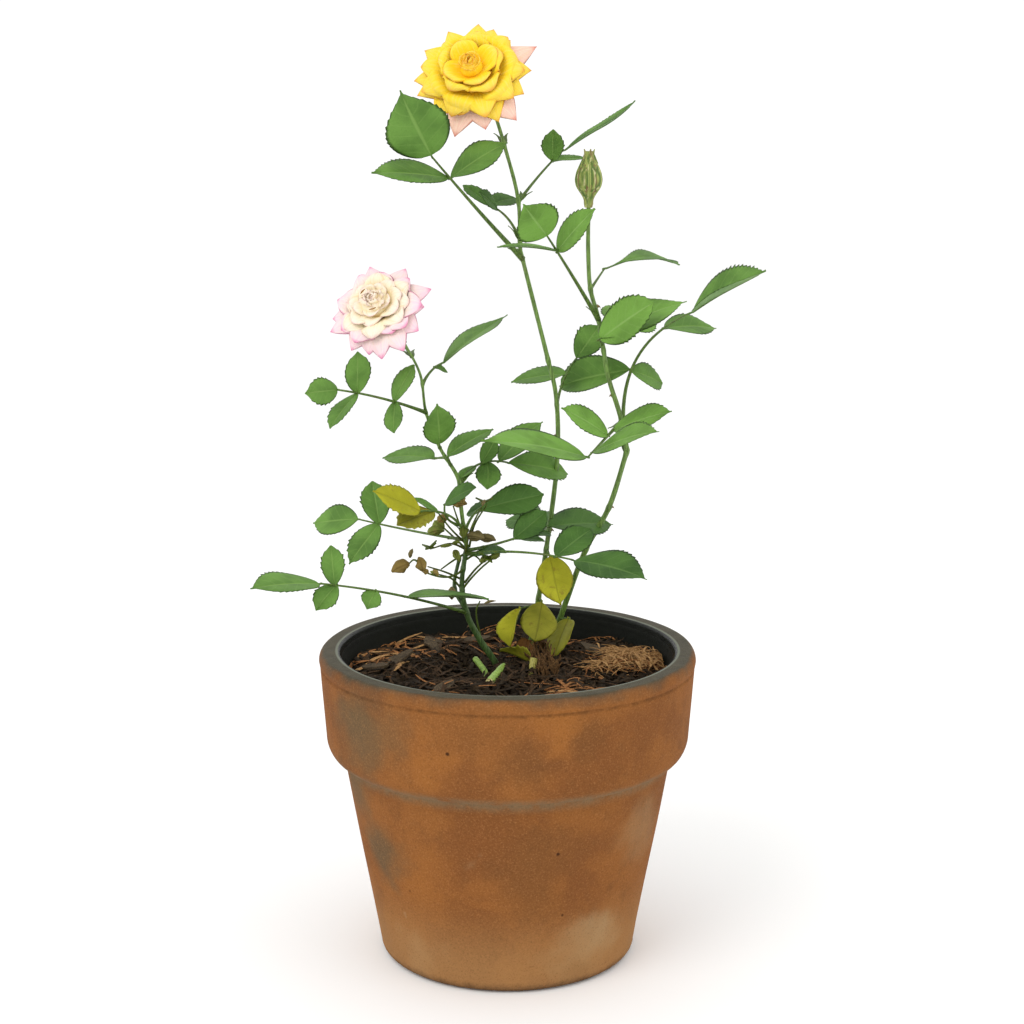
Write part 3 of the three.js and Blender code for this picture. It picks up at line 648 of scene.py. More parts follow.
# ---------------------------------------------------------------- the cut stubs
# Last year's canes, cut off short just above the mulch, each with a flat cut face of
# pale wood. Shreds of old bark stand round the canes' feet.
STUBS = {
    "cut_stub_green": (
        [(2, 8, 112), (-1, 2, 116), (-4, -10, 116.6), (-7, -20, 115.6)], 1.1, 1.7,
        ("#6f9036", "#a3c258", "#7f9440")),
    "cut_stub_pale": (
        [(9, -6, 109), (9.5, -6, 115), (10.5, -4, 121)], 1.3, 1.5, ("#8e8a36", "#bdb35c", "#83733a")),
    "cut_stub_brown": (
        [(-7, -8, 110), (-9, -3, 115), (-13, 4, 118.5)], 1.1, 1.2, ("#6a8a38", "#96b452", "#6a6a38")),
}


def two_tone(name, roughness, specular, scale, dark, light):
    """A plain finish that wavers between two colours."""
    skin = Finish(name, roughness, specular)
    skin.shade = skin.mix(skin.cloud(skin.places(), scale), dark, light)
    return skin.done()


cut_face = two_tone("cut_face", 0.75, 0.3, 1.4, "#b9a86a", "#e0d39a")
for name, (bends, foot, tip, shades) in STUBS.items():
    path = smooth_limb(bends, 30)
    heap = Heap()
    heap.add(*tube(path, np.linspace(foot, tip, len(path)), sides=14, ribs=cane_ribs))
    heap.picks[-1] = 1
    heap.piece(name + "_skin", [cane_skin(name + "_green", *shades), cut_face], "green_cane", [name])

CROWN_SPOTS = [(16, -8, 3.4), (14, 6, 5), (13, 26, 6)]
CROWN_SHREDS = 96
crown = Heap()
chance = np.random.default_rng(23)
for k in range(CROWN_SHREDS):
    turn = chance.uniform(0, 2 * math.pi)
    x, y, spread = CROWN_SPOTS[k % 3]
    foot = np.array([x + spread * math.cos(turn), y + spread * math.sin(turn), 0])
    foot[2] = mulch_height(foot[0], foot[1]) - 0.8
    lean = np.array([chance.normal(-0.5, 1.6), chance.normal(1.5, 1.6), chance.uniform(4, 9)])
    shares = np.linspace(0, 1, 6)[:, None]
    path = foot + lean * shares + np.array([1.2, 0.6, 0]) * np.sin(shares * 4 + k) * 0.8
    crown.add(*tube(path, np.array([0.6, 0.9, 0.8, 0.6, 0.4, 0.1]), 0.25, sides=5))
crown.piece("old_bark_at_crown", [bark("bark_crown", "#3c2a18", "#86633c", 1.2)], "bark")

# ---------------------------------------------------------------- the green leaves
# Compound leaves of one to five toothed leaflets on a thin stalk, the larger ones with a
# pair of narrow wings where the stalk leaves its cane. They are satiny above and dull
# below.

# Each leaf: its cane and the height where it leaves it, its reach, its bow, its shade and
# its leaflets. Each leaflet: its place along the stalk, its heading, rise, length, width
# and roll, and what sets its outline apart.
LEAVES = {
    "leaf_high_left": ("centre_cane", 277, (-28, -20, 317), (-1, 0, 0), "mid", [
        (0.8, 15, 30, 26, 15, -35, {"belly": 1.15}), (0.8, -145, 4, 34, 18, 30, {"blunt": 0.9}),
        (1, -130, 55, 29, 24, 135, {"blunt": 0.55, "sharp": 1.3, "belly": 0.9})]),
    "leaf_high_young": ("yellow_bloom_cane", 284, (-7, 26, 297), (2, -2, 4), "deep", [
        (0.8, -125, 30, 14, 7, 70), (1, 50, 10, 16, 9, -30), (1, 160, 35, 14, 8, 25)]),
    "leaf_high_right": ("yellow_bloom_cane", 299, (22, 40, 318), (0, -1, 2), "mid", [
        (0.77, -90, 60, 14, 9, 180), (0.77, 40, 2, 18, 8, -15),
        (1, 40, 21, 44, 9, 10, {"sharp": 1.0, "belly": 1.7, "fold": 14, "curl": 0.1})]),
    "leaf_bud_left": ("bud_cane", 252, (15, -6, 287), (-2, 5, 4), "light", [
        (0.78, -35, 45, 24, 14, -65), (0.8, -145, 5, 28, 9, 5), (1, -120, 35, 22, 18, 130)]),
    "leaf_bud_right": ("bud_cane", 264, (39, 41, 271), (0, 0, 0), "mid", [
        (1, 35, 0, 40, 17, -10, {"arch": 0.1, "sharp": 1.0, "blunt": 1.0, "belly": 1.8})]),
    "leaf_bud_front": ("bud_cane", 242, (36, 19, 245), (0, 0, 1), "light", [
        (0.9, -19, 34, 27, 19, -60, {"sharp": 0.5, "bite": 1.8}), (1, 13, 22, 39, 22, -20)]),
    "leaf_far_right": ("right_cane", 199, (69, -16, 259), (-17, 37, 10), "mid", [
        (0.4, 40, -20, 19, 12, -55), (0.41, 141, -16, 38, 15, 67, {"fold": 32, "sharp": 0.6}),
        (0.76, 30, -3, 25, 15, -25),
        (1, -40, 27, 38, 18, -30, {"fold": 26, "sharp": 1.0, "curl": 0.03, "bite": 1.8})]),
    "leaf_centre_back": ("centre_cane", 219, (28, 40, 235), (-2, -1, 2), "mid", [
        (0.6, 155, -10, 25, 14, 25), (1, 45, 40, 19, 12, -40)]),
    "leaf_middle": ("bud_cane", 212, (31, -6, 202), (0, 0, 0), "light", [
        (0.25, -30, 20, 27, 16, -35), (0.4, -155, 30, 24, 14, 45), (0.86, -45, 20, 36, 17, -30),
        (1, -150, 13, 49, 24, 20, {"sharp": 1.3, "belly": 0.92})]),
    "leaf_single_right": ("pink_bloom_cane", 200, (-23, -15, 204), (0, 0, 0), "mid", [
        (1, 30, 25, 22, 13, -10)]),
    "leaf_single_left": ("pink_bloom_cane", 203, (-28, -8, 202), (0, 0, 0), "mid", [
        (1, 145, -5, 26, 15, 20)]),
    "leaf_single_up": ("pink_bloom_cane", 207, (-26, -17, 209), (0, 0, 0), "mid", [
        (1, -90, 55, 21, 13, 160)]),
    "leaf_side_left": ("pink_bloom_cane", 221, (-62, -47, 234), (0, 1, 2), "mid", [
        (0.37, 25, 60, 16, 9, -25), (0.36, -90, -55, 13, 8, -25), (0.78, -85, 70, 17, 10, 165),
        (0.78, -135, -40, 18, 10, 0), (1, -135, 0, 15, 10, 80)]),
    "leaf_pink_right": ("pink_bloom_cane", 232, (-25, -8, 239), (-1, -1, 2), "mid", [
        (0.7, 45, -20, 7, 4, -40), (1, 40, 25, 37, 20, 10, {"blunt": 0.9, "sharp": 1.3, "curl": 0.03})]),
    "leaf_inner": ("pink_bloom_cane", 192, (0, 11, 197), (-4, 1, 7), "mid", [
        (0.41, -130, -20, 10, 6, 5), (0.55, 50, 45, 12, 7, -40), (0.66, -90, -40, 14, 10, 5),
        (0.85, 30, 35, 25, 15, -15),
        (1, 25, -14, 28, 17, -35, {"belly": 1.3, "sharp": 0.6, "bite": 1.8})]),
    "leaf_folded": ("pink_bloom_cane", 175, (-24, -18, 186), (-5, -1, -3), "deep", [
        (1, -35, 30, 17, 10, -45)]),
    "leaf_back_left": ("pink_bloom_cane", 169, (-61, 31, 170), (0, 0, -1), "mid", [
        (0.8, 115, 70, 18, 12, 20), (0.8, -140, -45, 21, 12, 30), (1, 145, -10, 25, 14, 55)]),
    "leaf_low_left": ("left_cane", 138, (-69, -53, 163), (1, 0, 3), "mid", [
        (0.44, 15, -5, 33, 19, 5), (0.65, -105, -25, 11, 8, 30), (0.91, 130, 80, 15, 9, 25),
        (0.9, -125, -30, 14, 9, 35), (1, -140, 5, 30, 17, 15)]),
    "leaf_dark": ("pink_bloom_cane", 172, (-4, 14, 180), (-3, 0, 6), "deep", [
        (0.9, 150, -25, 14, 8, 35), (0.5, 15, 12, 28, 13, -60, {"belly": 1.5, "sharp": 0.6})]),
    "leaf_low_right": ("left_cane", 163, (25, -27, 166), (0, 0, 4), "deep", [
        (0.38, 150, -10, 16, 9, 15), (0.84, 30, 28, 19, 15, -20), (1, -35, -5, 33, 19, -20)]),
    "leaf_dark_right": ("left_cane", 164.5, (16, 17, 170), (0, -14, 1), "deep", [
        (0.5, 22, 36, 17, 11, -50), (0.52, 10, -8, 12, 8, -10), (0.65, 50, -5, 15, 9, -20),
        (1, 30, -5, 32, 19, -25)]),
    "leaf_behind_yellow_bloom": ("yellow_bloom_cane", 321, (-8, 35, 342), (0, 0, 0), "mid", [
        (0.77, 65, 30, 20, 12, 5), (0.77, 135, 20, 22, 13, 15), (1, 100, 15, 26, 15, -25)]),
    "leaf_behind_pink_bloom": ("pink_bloom_cane", 243, (-48, 18, 254), (0, 0, 0), "mid", [
        (0.74, 70, 25, 21, 12, 10), (0.74, 135, 0, 22, 13, 30), (1, 115, 10, 24, 14, 0)]),
    "leaf_behind_bud_cane": ("bud_cane", 246, (51, 60, 249), (0, 0, 0), "light", [
        (0.67, 50, 0, 24, 14, -45), (0.67, 102, 18, 20, 12, 5), (1, 55, 10, 30, 17, -10)]),
    "leaf_behind_centre_cane": ("centre_cane", 167, (10, 58, 164), (0, 0, 0), "deep", [
        (0.65, 60, -5, 23, 13, -30), (0.65, 130, -5, 21, 12, 35), (1, 105, 5, 25, 14, 5)]),
}


def blade_frame(heading, rise, roll):
    """A blade's directions: along its midrib, out to its right, and out of its face."""
    facing, tilt, lean = math.radians(heading), math.radians(rise), math.radians(roll)
    along = np.array([math.cos(tilt) * math.cos(facing), math.cos(tilt) * math.sin(facing), math.sin(tilt)])
    level = np.array([math.sin(facing), -math.cos(facing), 0])
    right = level * math.cos(lean) + np.cross(level, along) * math.sin(lean)
    return along, right, np.cross(right, along)


SHEET_COLUMNS = 13
BLADE_THICK = 0.34
SMALL_LEAFLET = 20
TOOTH_SPACING = 2.3


def over_and_under():
    """The columns over a thin sheet's upper face and back under it, from -1 to 1 across,
    and which of them are on the upper face."""
    over, back = np.linspace(-1, 1, SHEET_COLUMNS), np.linspace(1, -1, SHEET_COLUMNS)
    across = np.concatenate([over, back[1:-1]])
    return across, np.arange(len(across)) < SHEET_COLUMNS


def sheet_mesh(points, shares, skins=(0, 1)):
    """A thin closed sheet from its rings of points at shares along it: its points, faces
    and maps, and its faces' skins, above and below."""
    across, upper = over_and_under()
    rows, columns = points.shape[:2]
    faces = grid_faces(rows, columns, True)
    picks = [skins[not (upper[k % columns] and upper[(k + 1) % columns])] for k in range(len(faces))]
    faces += [tuple(range(columns)), tuple(range((rows - 1) * columns, rows * columns))]
    maps = np.stack(np.broadcast_arrays(across / 2 + 0.5, shares[:, None]), -1)
    return points.reshape(-1, 3), faces, maps.reshape(-1, 2), picks + [skins[0]] * 2


def blade(chance, root, heading, rise, length, width, roll, belly=None, blunt=None, sharp=None, fold=7,
          arch=0.03, curl=0.0, crumple=0.5, bite=1.0):
    """One leaflet: a toothed, veined blade with a groove along its midrib, and the line
    down the middle of its back. The belly puts its broadest part further out, and the
    curl bends its tip out of its face."""
    along, right, face = blade_frame(heading, rise, roll)
    small = length < SMALL_LEAFLET
    belly = belly or (1.2 if small else 1.0)
    blunt = blunt or (0.52 if small else 0.62)
    sharp = sharp or (0.7 if small else 0.95)
    teeth = max(5, round(length / TOOTH_SPACING))
    steps = [0, 0.02, 0.045, 0.07, 0.1, 0.14]
    for tooth in range(teeth):
        steps += [0.18 + 0.82 * (tooth + part) / teeth for part in (0.0, 0.5, 0.9)]
    shares = np.array(steps)
    grown = np.clip((shares - 0.045) / 0.955, 0, 1)
    body = np.sin(math.pi * np.clip(grown / 0.97, 0, 1) ** belly) ** (blunt + (sharp - blunt) * grown ** 2)
    bites = np.repeat(chance.uniform(0.25, 1.2, teeth), 3) * np.tile([-0.35, 0.15, 0.65], teeth)
    bites = np.concatenate([np.zeros(6), bites]) * np.clip(2.2 * grown - 0.4, 0, 1) * (1 - grown ** 6)
    half = np.maximum(0.5 * width * body + bite * min(1.0, 0.09 * width) * bites, 0.32)
    across, upper = over_and_under()
    aside = half[:, None] * across[None, :]
    outward = np.abs(across)[None, :]
    phase = chance.uniform(0, 6.28, 3)
    rows = shares[:, None]
    lift = arch * length * np.sin(math.pi * rows) + np.abs(aside) * math.tan(math.radians(fold))
    lift = lift + curl * length * np.clip(shares - 0.5, 0, 1)[:, None] ** 2 * 4
    left = np.sin(8 * shares + phase[1])[:, None] * (across < 0)
    ruffle = np.sin(7 * shares + phase[0])[:, None] * (across > 0) + left
    lift = lift + crumple * 0.045 * width * ruffle * outward ** 1.6
    pleats = np.sin(2 * math.pi * (7 * (rows - 0.22 * outward)) + phase[2])
    lift = lift + crumple * 0.22 * pleats * outward * (1 - outward ** 3)
    lift = lift - 0.3 * np.exp(-(aside / 0.55) ** 2) * (rows > 0.03)
    deep = np.where(upper, 1.0, -1.0)[None, :] * BLADE_THICK / 2 * (1 - outward ** 6)
    sway = 0.02 * length * np.sin(3 * shares + phase[1])[:, None] * rows
    points = (root + along * (shares * (length + 0.9) - 0.9)[:, None, None]
              + right * (aside + sway)[..., None] + face * (lift + deep)[..., None])
    back_middle = SHEET_COLUMNS + SHEET_COLUMNS // 2 - 1
    return *sheet_mesh(points, shares), points[:, back_middle]


def across_along(skin):
    """How far a point lies across its sheet, along it, and out from its middle."""
    spot = skin.node("UVMap", uv_map="across_along")
    across, along = spot.part(0), spot.part(1)
    return across, along, (across - 0.5).work("ABSOLUTE") * 2.0


def leaf_skin(name, deep, bright, vein, roughness, specular, rim="#203410", spots=None):
    """A leaf's skin: mottled, with a midrib and faint side veins, a tinted rim and, on an
    old leaf, brown spots."""
    skin = Finish(name, roughness, specular)
    where = skin.places()
    _, along, outward = across_along(skin)
    cells = skin.cloud(where, 1.6, 3.0, 0.6)
    skin.shade = skin.mix(skin.cloud(where, 0.06, 3.0).rise(0.35, 0.65), deep, bright)
    skin.paint(cells.rise(0.5, 0.75, 0.35), deep)
    branches = ((along - outward * 0.22) * 7.0).work("FRACT")
    veins = (branches - 0.5).work("ABSOLUTE").rise(0.1, 0.02, 0.13)
    marked = veins.work("MAXIMUM", outward.rise(0.08, 0.02, 0.5))
    skin.paint(marked, vein)
    if spots:
        skin.paint(skin.cloud(where, 0.3).rise(0.56, 0.7, 0.7), spots)
    skin.paint(outward.rise(0.86, 0.98, 0.75), rim)
    return skin.done(cells * 0.4 - marked, 0.25)


GREENS = {
    "mid": leaf_skin("leaf_mid_green", "#4f732e", "#668e3d", "#84a656", 0.58, 0.2),
    "light": leaf_skin("leaf_light_green", "#5d8334", "#739f43", "#8fb364", 0.58, 0.2),
    "deep": leaf_skin("leaf_deep_green", "#365622", "#4b6f2e", "#688848", 0.58, 0.2),
}
leaf_back = leaf_skin("leaf_pale_back", "#668850", "#7c9c60", "#9ab480", 0.75, 0.15)
stalk_green = cane_skin("stalk_green", "#3c511c", "#617d36", "#5f5a2e", 0.3)
STALK_FOOT, STALK_TIP = 0.6, 0.36


def stalk_path(on, height, reach, bow, count=24):
    """A stalk leaves its cane at a height and bows to its reach."""
    start, end = at_height(paths[on], height), np.array(reach, float)
    middle = (start + end) / 2 + np.array(bow, float)
    shares = np.linspace(0, 1, 60)[:, None]
    return even(start * (1 - shares) ** 2 + 2 * middle * shares * (1 - shares) + end * shares ** 2, count)


def stipules(path):
    """The pair of narrow wings that clasp a stalk's foot and end in free points."""
    foot, ahead = path[0], unit(path[4] - path[0])
    side = unit(np.cross(ahead, [0, 0, 1.0]))
    wings = []
    for sign in (-1, 1):
        shares = np.linspace(0, 1, 8)[:, None]
        line = foot + ahead * shares * 7 + side * sign * (0.35 + 0.9 * shares + 1.6 * shares ** 4)
        wings.append(tube(line, np.array([0.5, 0.8, 1.0, 1.0, 0.85, 0.7, 0.45, 0.08]), 0.2, sides=6))
    return wings


def grow_leaf(chance, leaf, blades, stalks, stout=1.0, **shape):
    """One leaf from its row: its blades into one heap, its stalk and ribs into another."""
    on, height, reach, bow, _, rows = leaf
    path = stalk_path(on, height, reach, bow)
    flare = 0.3 * np.exp(-np.linspace(0, 9, len(path)))
    girth = np.linspace(STALK_FOOT * stout, STALK_TIP, len(path)) + flare
    stalks.add(*tube(path, girth, sides=8))
    for place, heading, rise, length, width, roll, *more in rows:
        root = np.array([np.interp(place * (len(path) - 1), range(len(path)), path[:, axis])
                         for axis in range(3)])
        own = {**shape, **(more[0] if more else {})}
        first_skin = own.pop("skins", 0)
        *mesh, spine = blade(chance, root, heading, rise, length, width, roll, **own)
        mesh[3] = [pick + first_skin for pick in mesh[3]]
        blades.add(*mesh)
        rib = spine[:int(0.92 * len(spine))]
        stalks.add(*tube(rib, np.linspace(0.36, 0.1, len(rib)), sides=6))
    if len(rows) > 2:
        for wing in stipules(path):
            stalks.add(*wing)


STOUT_STALKS = {"leaf_high_left": 1.7, "leaf_bud_left": 1.5, "leaf_far_right": 1.4, "leaf_middle": 1.3}
chance = np.random.default_rng(5)
stalks_on = {}
for name, leaf in LEAVES.items():
    blades = Heap()
    stalks = stalks_on.setdefault(leaf[0], Heap())
    grow_leaf(chance, leaf, blades, stalks, STOUT_STALKS.get(name, 1.0))
    blades.piece(name + "_blades", [GREENS[leaf[4]], leaf_back], "green_leaf", [name])
for cane, stalks in stalks_on.items():
    stalks.piece(cane + "_leaf_stalks", [stalk_green], "green_cane")

# ---------------------------------------------------------------- the yellowing leaves
# Old leaves low on the canes have turned a dull yellow-green and begun to spot with
# brown. Their blades are softer, with a ruffled rim.
YELLOW_LEAVES = {
    "leaf_yellowing": ("pink_bloom_cane", 171, (-33, -27, 185), (5, 0, 6), "clear", [
        (0.74, 160, 25, 11, 6, 5, {"skins": 2}), (0.78, -140, -10, 18, 12, 30, {"skins": 4, "bite": 1.8}),
        (1, -145, 25, 23, 13, 50, {"bite": 1.0})]),
    "yellow_leaf_high": ("centre_cane", 159, (17, 20, 157), (0, 0, 1), "clear", [
        (1, -65, -60, 21, 15, -25)]),
    "yellow_leaf_middle": ("centre_cane", 138, (14, 23, 137), (0, 0, 1), "olive", [
        (1, -105, -48, 18, 15, 20, {"belly": 1.3, "sharp": 0.6})]),
    "yellow_leaf_left": ("centre_cane", 134, (5, 22, 134.5), (0, 0, 1), "clear", [
        (1, -112, -52, 17, 11, -25, {"fold": 40})]),
    "yellow_leaf_right": ("right_cane", 127, (25, 27, 129), (0, 0, 1), "olive", [
        (1, -115, -42, 20, 15, -25, {"belly": 0.9, "sharp": 1.2})]),
}
YELLOWS = {
    "clear": leaf_skin("leaf_yellow_clear", "#9c9a1c", "#bcb92c", "#8a881e", 0.6, 0.2, "#a09a30", "#8a7a24"),
    "olive": leaf_skin("leaf_yellow_olive", "#75741a", "#918f28", "#5e5c16", 0.6, 0.2, "#9a9a34", "#6e5a1e"),
}
yellow_back = leaf_skin("leaf_yellow_back", "#8c8a34", "#a5a24e", "#b4b074", 0.7, 0.15, "#8a8430")
yellow_stalks = Heap()
for name, leaf in YELLOW_LEAVES.items():
    blades = Heap()
    grow_leaf(chance, leaf, blades, yellow_stalks, crumple=1.0, bite=0.35)
    skins = [YELLOWS[leaf[4]], yellow_back]
    if name == "leaf_yellowing":
        skins += [GREENS["mid"], leaf_back, YELLOWS["olive"], yellow_back]
    blades.piece(name + "_blades", skins, "yellow_leaf", [name])
yellow_stalks.piece("yellow_leaf_stalks", [stalk_green], "green_cane")

# ---------------------------------------------------------------- the withered sprigs
# Dead leaves that hang on round the left cane's knot, curled and dried to tan, brown and
# olive on wiry twigs, and one that has dropped at the canes' foot.

# Each sprig: its cane and the height where it leaves it, its reach, its bow, its shade and
# its curled leaflets, each with its place on the twig, heading, rise, length and breadth.
WITHERED_SPRIGS = {
    "withered_sprig_upper_right": ("left_cane", 162, (-9, -12, 185), (-3, -4, 1), "umber", [
        (0.96, -50, 60, 3, 1.4), (0.4, -40, 5, 8, 4.4)]),
    "withered_sprig_upper_left": ("left_cane", 165, (-28, 6, 174), (0, 2, 0), "olive", [
        (0.8, 155, 30, 5, 3), (0.8, 145, -5, 6, 4)]),
    "withered_sprig_lower_left": ("left_cane", 157, (-33, -19, 160), (3, 0, -6), "tan", [
        (0.66, -150, 55, 3.5, 1.8), (0.85, -140, 25, 3.5, 2.2), (1, -120, 70, 6, 4.4)]),
    "withered_sprig_lower_right": ("left_cane", 148, (-3, -12, 165), (-1, 0, 2), "olive", [
        (0.83, -45, 35, 5, 3)]),
}
# Loose curled bits: where each hangs, its heading, rise, length, breadth and shade.
CURLED_BITS = [
    (-37.8, -21, 163, 200, -20, 7.4, 5.2, "tan"), (-37.5, -19, 165, 60, 60, 3.8, 1.7, "umber"),
    (-27, -8, 177, 20, 20, 4.5, 3.6, "tan"), (-31, -8, 172.5, 10, 5, 6.5, 3.8, "olive"),
    (-21, -12, 184.5, 15, 0, 5.5, 3.4, "tan"), (-17.6, -14, 185.5, 80, 70, 4.4, 2.6, "tan"),
    (-11, -9, 170.5, 5, -8, 6.5, 3.6, "umber"), (-17, -7, 175, -90, -70, 5, 3.6, "olive"),
    (-21, -6, 165, -50, -50, 5, 3, "olive"), (-11, -8, 161, 10, 15, 5, 2.6, "olive"),
    (-22, -2, 149.5, -90, -80, 5, 3.2, "umber"), (-9.3, -1, 142.3, 10, 12, 5, 1.0, "umber"),
    (-26, -11, 167.5, 10, 5, 4.5, 1.5, "olive"), (-21.5, -9, 168.5, -20, 10, 3.5, 1.6, "olive"),
    (-27.5, -8, 155.5, 150, 20, 3.5, 1.5, "olive"), (-8, -10, 162.5, 30, 10, 4, 1.6, "olive"),
]
# Wiry twigs that carry them, each as its bends.
FINE_TWIGS = [
    [(-18, 0, 152), (-24, -5, 156), (-31, -12, 160)], [(-18, 0, 148), (-22, -3, 153), (-28, -7, 156)],
    [(-17, -3, 163), (-21, -5, 161), (-26, -8, 158)],
    [(-17, -1, 151), (-12, -5, 158), (-8, -9, 162), (-3, -11, 164)],
    [(-16, -4, 165), (-22, -7, 168), (-30, -12, 167)], [(-15, -4, 166), (-13, -6, 175), (-8, -9, 184)],
    [(-16, -4, 167), (-22, -8, 174), (-27, -10, 181)], [(-17, -5, 170), (-19, -9, 177), (-21, -12, 184)],
    [(-16, -3, 161), (-13, -6, 163), (-10, -8, 161)], [(-11, 6, 127), (-12.5, 6, 138), (-11, 6, 141.8)],
    [(-33, -19, 162), (-36, -20, 164.5), (-38, -21, 163)]
]
# Where five dry points spread from a twig like a star.
STARS = [(-30, -14, 168), (-9, -9, 185), (-8, -10, 163)]


def curled_leaflet(chance, place, heading, rise, length, breadth):
    """A dead leaflet, rolled up into a wrinkled pod."""
    along, right, face = blade_frame(heading, rise, 0)
    shares = np.linspace(0, 1, 14)
    arch = 0.1 * length * np.sin(math.pi * shares)
    path = place + along * (shares * length)[:, None] + face * arch[:, None]
    girth = np.maximum(0.55 * breadth * np.sin(math.pi * np.clip(shares, 0.03, 0.97) ** 0.8) ** 0.7, 0.12)
    turn_by, twist = chance.uniform(0, 6), chance.uniform(3, 7)
    return tube(path, girth, 0.85 * girth, sides=14,
                ribs=lambda turn, share: 1 + 0.2 * np.sin(3 * turn + twist * share + turn_by)
                + 0.12 * np.sin(8 * turn - 9 * share))


DRIED = {
    "tan": leaf_skin("leaf_dried_tan", "#705c2e", "#98834c", "#5e4a24", 0.8, 0.12, "#3e3014", "#66602a"),
    "umber": leaf_skin("leaf_dried_umber", "#5f5634", "#93855c", "#463818", 0.8, 0.12, "#3a3416", "#746a3c"),
    "olive": leaf_skin("leaf_dried_olive", "#5f6a2a", "#858f48", "#5a5426", 0.8, 0.12, "#42441c", "#8a744a"),
}
twig_green = cane_skin("twig_green", "#33400f", "#586a22", "#54431c", 0.15)
for name, (on, height, reach, bow, shade, pods) in WITHERED_SPRIGS.items():
    path = stalk_path(on, height, reach, bow)
    twig, curled = Heap(), Heap()
    twig.add(*tube(path, np.linspace(0.5, 0.3, len(path)), sides=8))
    for place, heading, rise, length, breadth in pods:
        root = path[round(place * (len(path) - 1))]
        curled.add(*curled_leaflet(chance, root, heading, rise, length, breadth))
    curled.piece(name + "_pods", [DRIED[shade]], "withered_leaf", [name])
    twig.piece(name + "_twig", [twig_green], "green_cane")

bits, twigs = Heap(), Heap()
for x, y, z, heading, rise, length, breadth, shade in CURLED_BITS:
    pod = curled_leaflet(chance, np.array([x, y, z]), heading, rise, length, breadth)
    bits.add(*pod, picks=list(DRIED).index(shade))
for bends in FINE_TWIGS:
    path = smooth_limb(bends, 24)
    twigs.add(*tube(path, np.linspace(0.5, 0.28, len(path)), sides=7))
for centre in STARS:
    for k in range(5):
        along = blade_frame(72 * k + chance.uniform(0, 40), chance.uniform(-20, 50), 0)[0]
        spike = np.array(centre) + along * np.linspace(0, 3.8, 6)[:, None]
        twigs.add(*tube(spike, np.array([0.8, 1.5, 1.4, 0.9, 0.5, 0.05]), 0.35, sides=6))
bits.piece("withered_bits", list(DRIED.values()), "withered_leaf")
twigs.piece("withered_twigs", [twig_green], "green_cane")

# A dead leaf has dropped at the canes' foot and lies there over an olive, curled one.
fallen = Heap()
fallen_skin = leaf_skin("leaf_fallen", "#6a4520", "#8f6430", "#4e3416", 0.8, 0.12, "#3a2410", "#5a3a1a")
fallen_leaf = ("centre_cane", 119, (8, 22, 121), (0, 0, 0), "", [(1, -100, -20, 13, 9, 25)])
grow_leaf(chance, fallen_leaf, fallen, fallen, fold=20, crumple=2.0)
*olive_curl, _ = blade(chance, np.array([10.5, 4, 116]), 172, 24, 15, 10, -40, fold=22, crumple=2.2, bite=1.6)
olive_curl[3] = [2] * len(olive_curl[3])
fallen.add(*olive_curl)
fallen.piece("withered_leaf_foot_blades", [fallen_skin, DRIED["tan"], YELLOWS["olive"]], "withered_leaf",
             ["withered_leaf_foot"])

# ---------------------------------------------------------------- the blooms
# Double miniature blooms: pointed outer petals that roll back, cupped inner ones, and a
# tight heart, all held by a green calyx. Every petal is a thin curved sheet.


def petal(chance, centre, axes, turn, path, width, wrap, belly, tip_power, roll_back, thick=0.3, ruffle=0.3,
          skins=(0, 1)):
    """One petal. Its path is four points of a curve, each a distance out from the bloom's
    axis and a height along it. Wrap bends it round the axis and roll_back curls its rim."""
    up, right, face = axes
    angle = math.radians(turn)
    out = right * math.cos(angle) + face * math.sin(angle)
    side = np.cross(up, out)
    shares = 1 - (1 - np.linspace(0, 1, 18)) ** 1.5
    points = np.array(path, float)
    weights = [(1 - shares) ** 3, 3 * shares * (1 - shares) ** 2, 3 * shares ** 2 * (1 - shares), shares ** 3]
    radius = sum(weight * point[0] for weight, point in zip(weights, points))
    height = sum(weight * point[1] for weight, point in zip(weights, points))
    slope = unit(np.stack([np.gradient(radius), np.gradient(height)], 1))
    across, upper = over_and_under()
    half = 0.5 * width * np.clip(np.sin(math.pi * (0.06 + 0.94 * shares) ** belly), 0, 1) ** tip_power
    half = np.maximum(half, 0.12)
    bend = np.maximum(np.maximum(radius, 1.2) / max(wrap, 0.02), 1.5)
    swing = half[:, None] * across / bend[:, None]
    sideways = bend[:, None] * np.sin(swing)
    inward = bend[:, None] * (1 - np.cos(swing))
    outward = np.abs(across)[None, :]
    phase = chance.uniform(0, 6.28, 2)
    lift = -roll_back * half[:, None] * outward ** 4 * shares[:, None]
    waves = np.sin(5 * shares[:, None] + 3 * across + phase[0])
    lift = lift + ruffle * half[:, None] * 0.22 * waves * outward
    lift = lift + ruffle * 0.12 * np.sin(9 * across + phase[1]) * shares[:, None]
    lift = lift + np.where(upper, 1, -1) * thick / 2 * (1 - outward ** 4)
    reach = radius[:, None] - inward - slope[:, 1:] * lift
    rise = height[:, None] + slope[:, :1] * lift
    return sheet_mesh(centre + out * reach[..., None] + up * rise[..., None] + side * sideways[..., None],
                      shares, skins)


def add_rings(chance, heap, centre, axes, rings, sway, reaches, heights, skins, **shape):
    """Rings of petals, each petal a little astray, with each ring's skins."""
    for ring, (count, first, path, width, wrap, belly, tip, roll) in enumerate(rings):
        for k in range(count):
            turn = first + 360 * k / count + chance.normal(0, sway)
            stretch = chance.uniform(*reaches)
            bent = [(r * stretch, h * chance.uniform(*heights)) for r, h in path]
            heap.add(*petal(chance, centre, axes, turn, bent, width, wrap, belly, tip, roll,
                            skins=skins[ring], **shape))


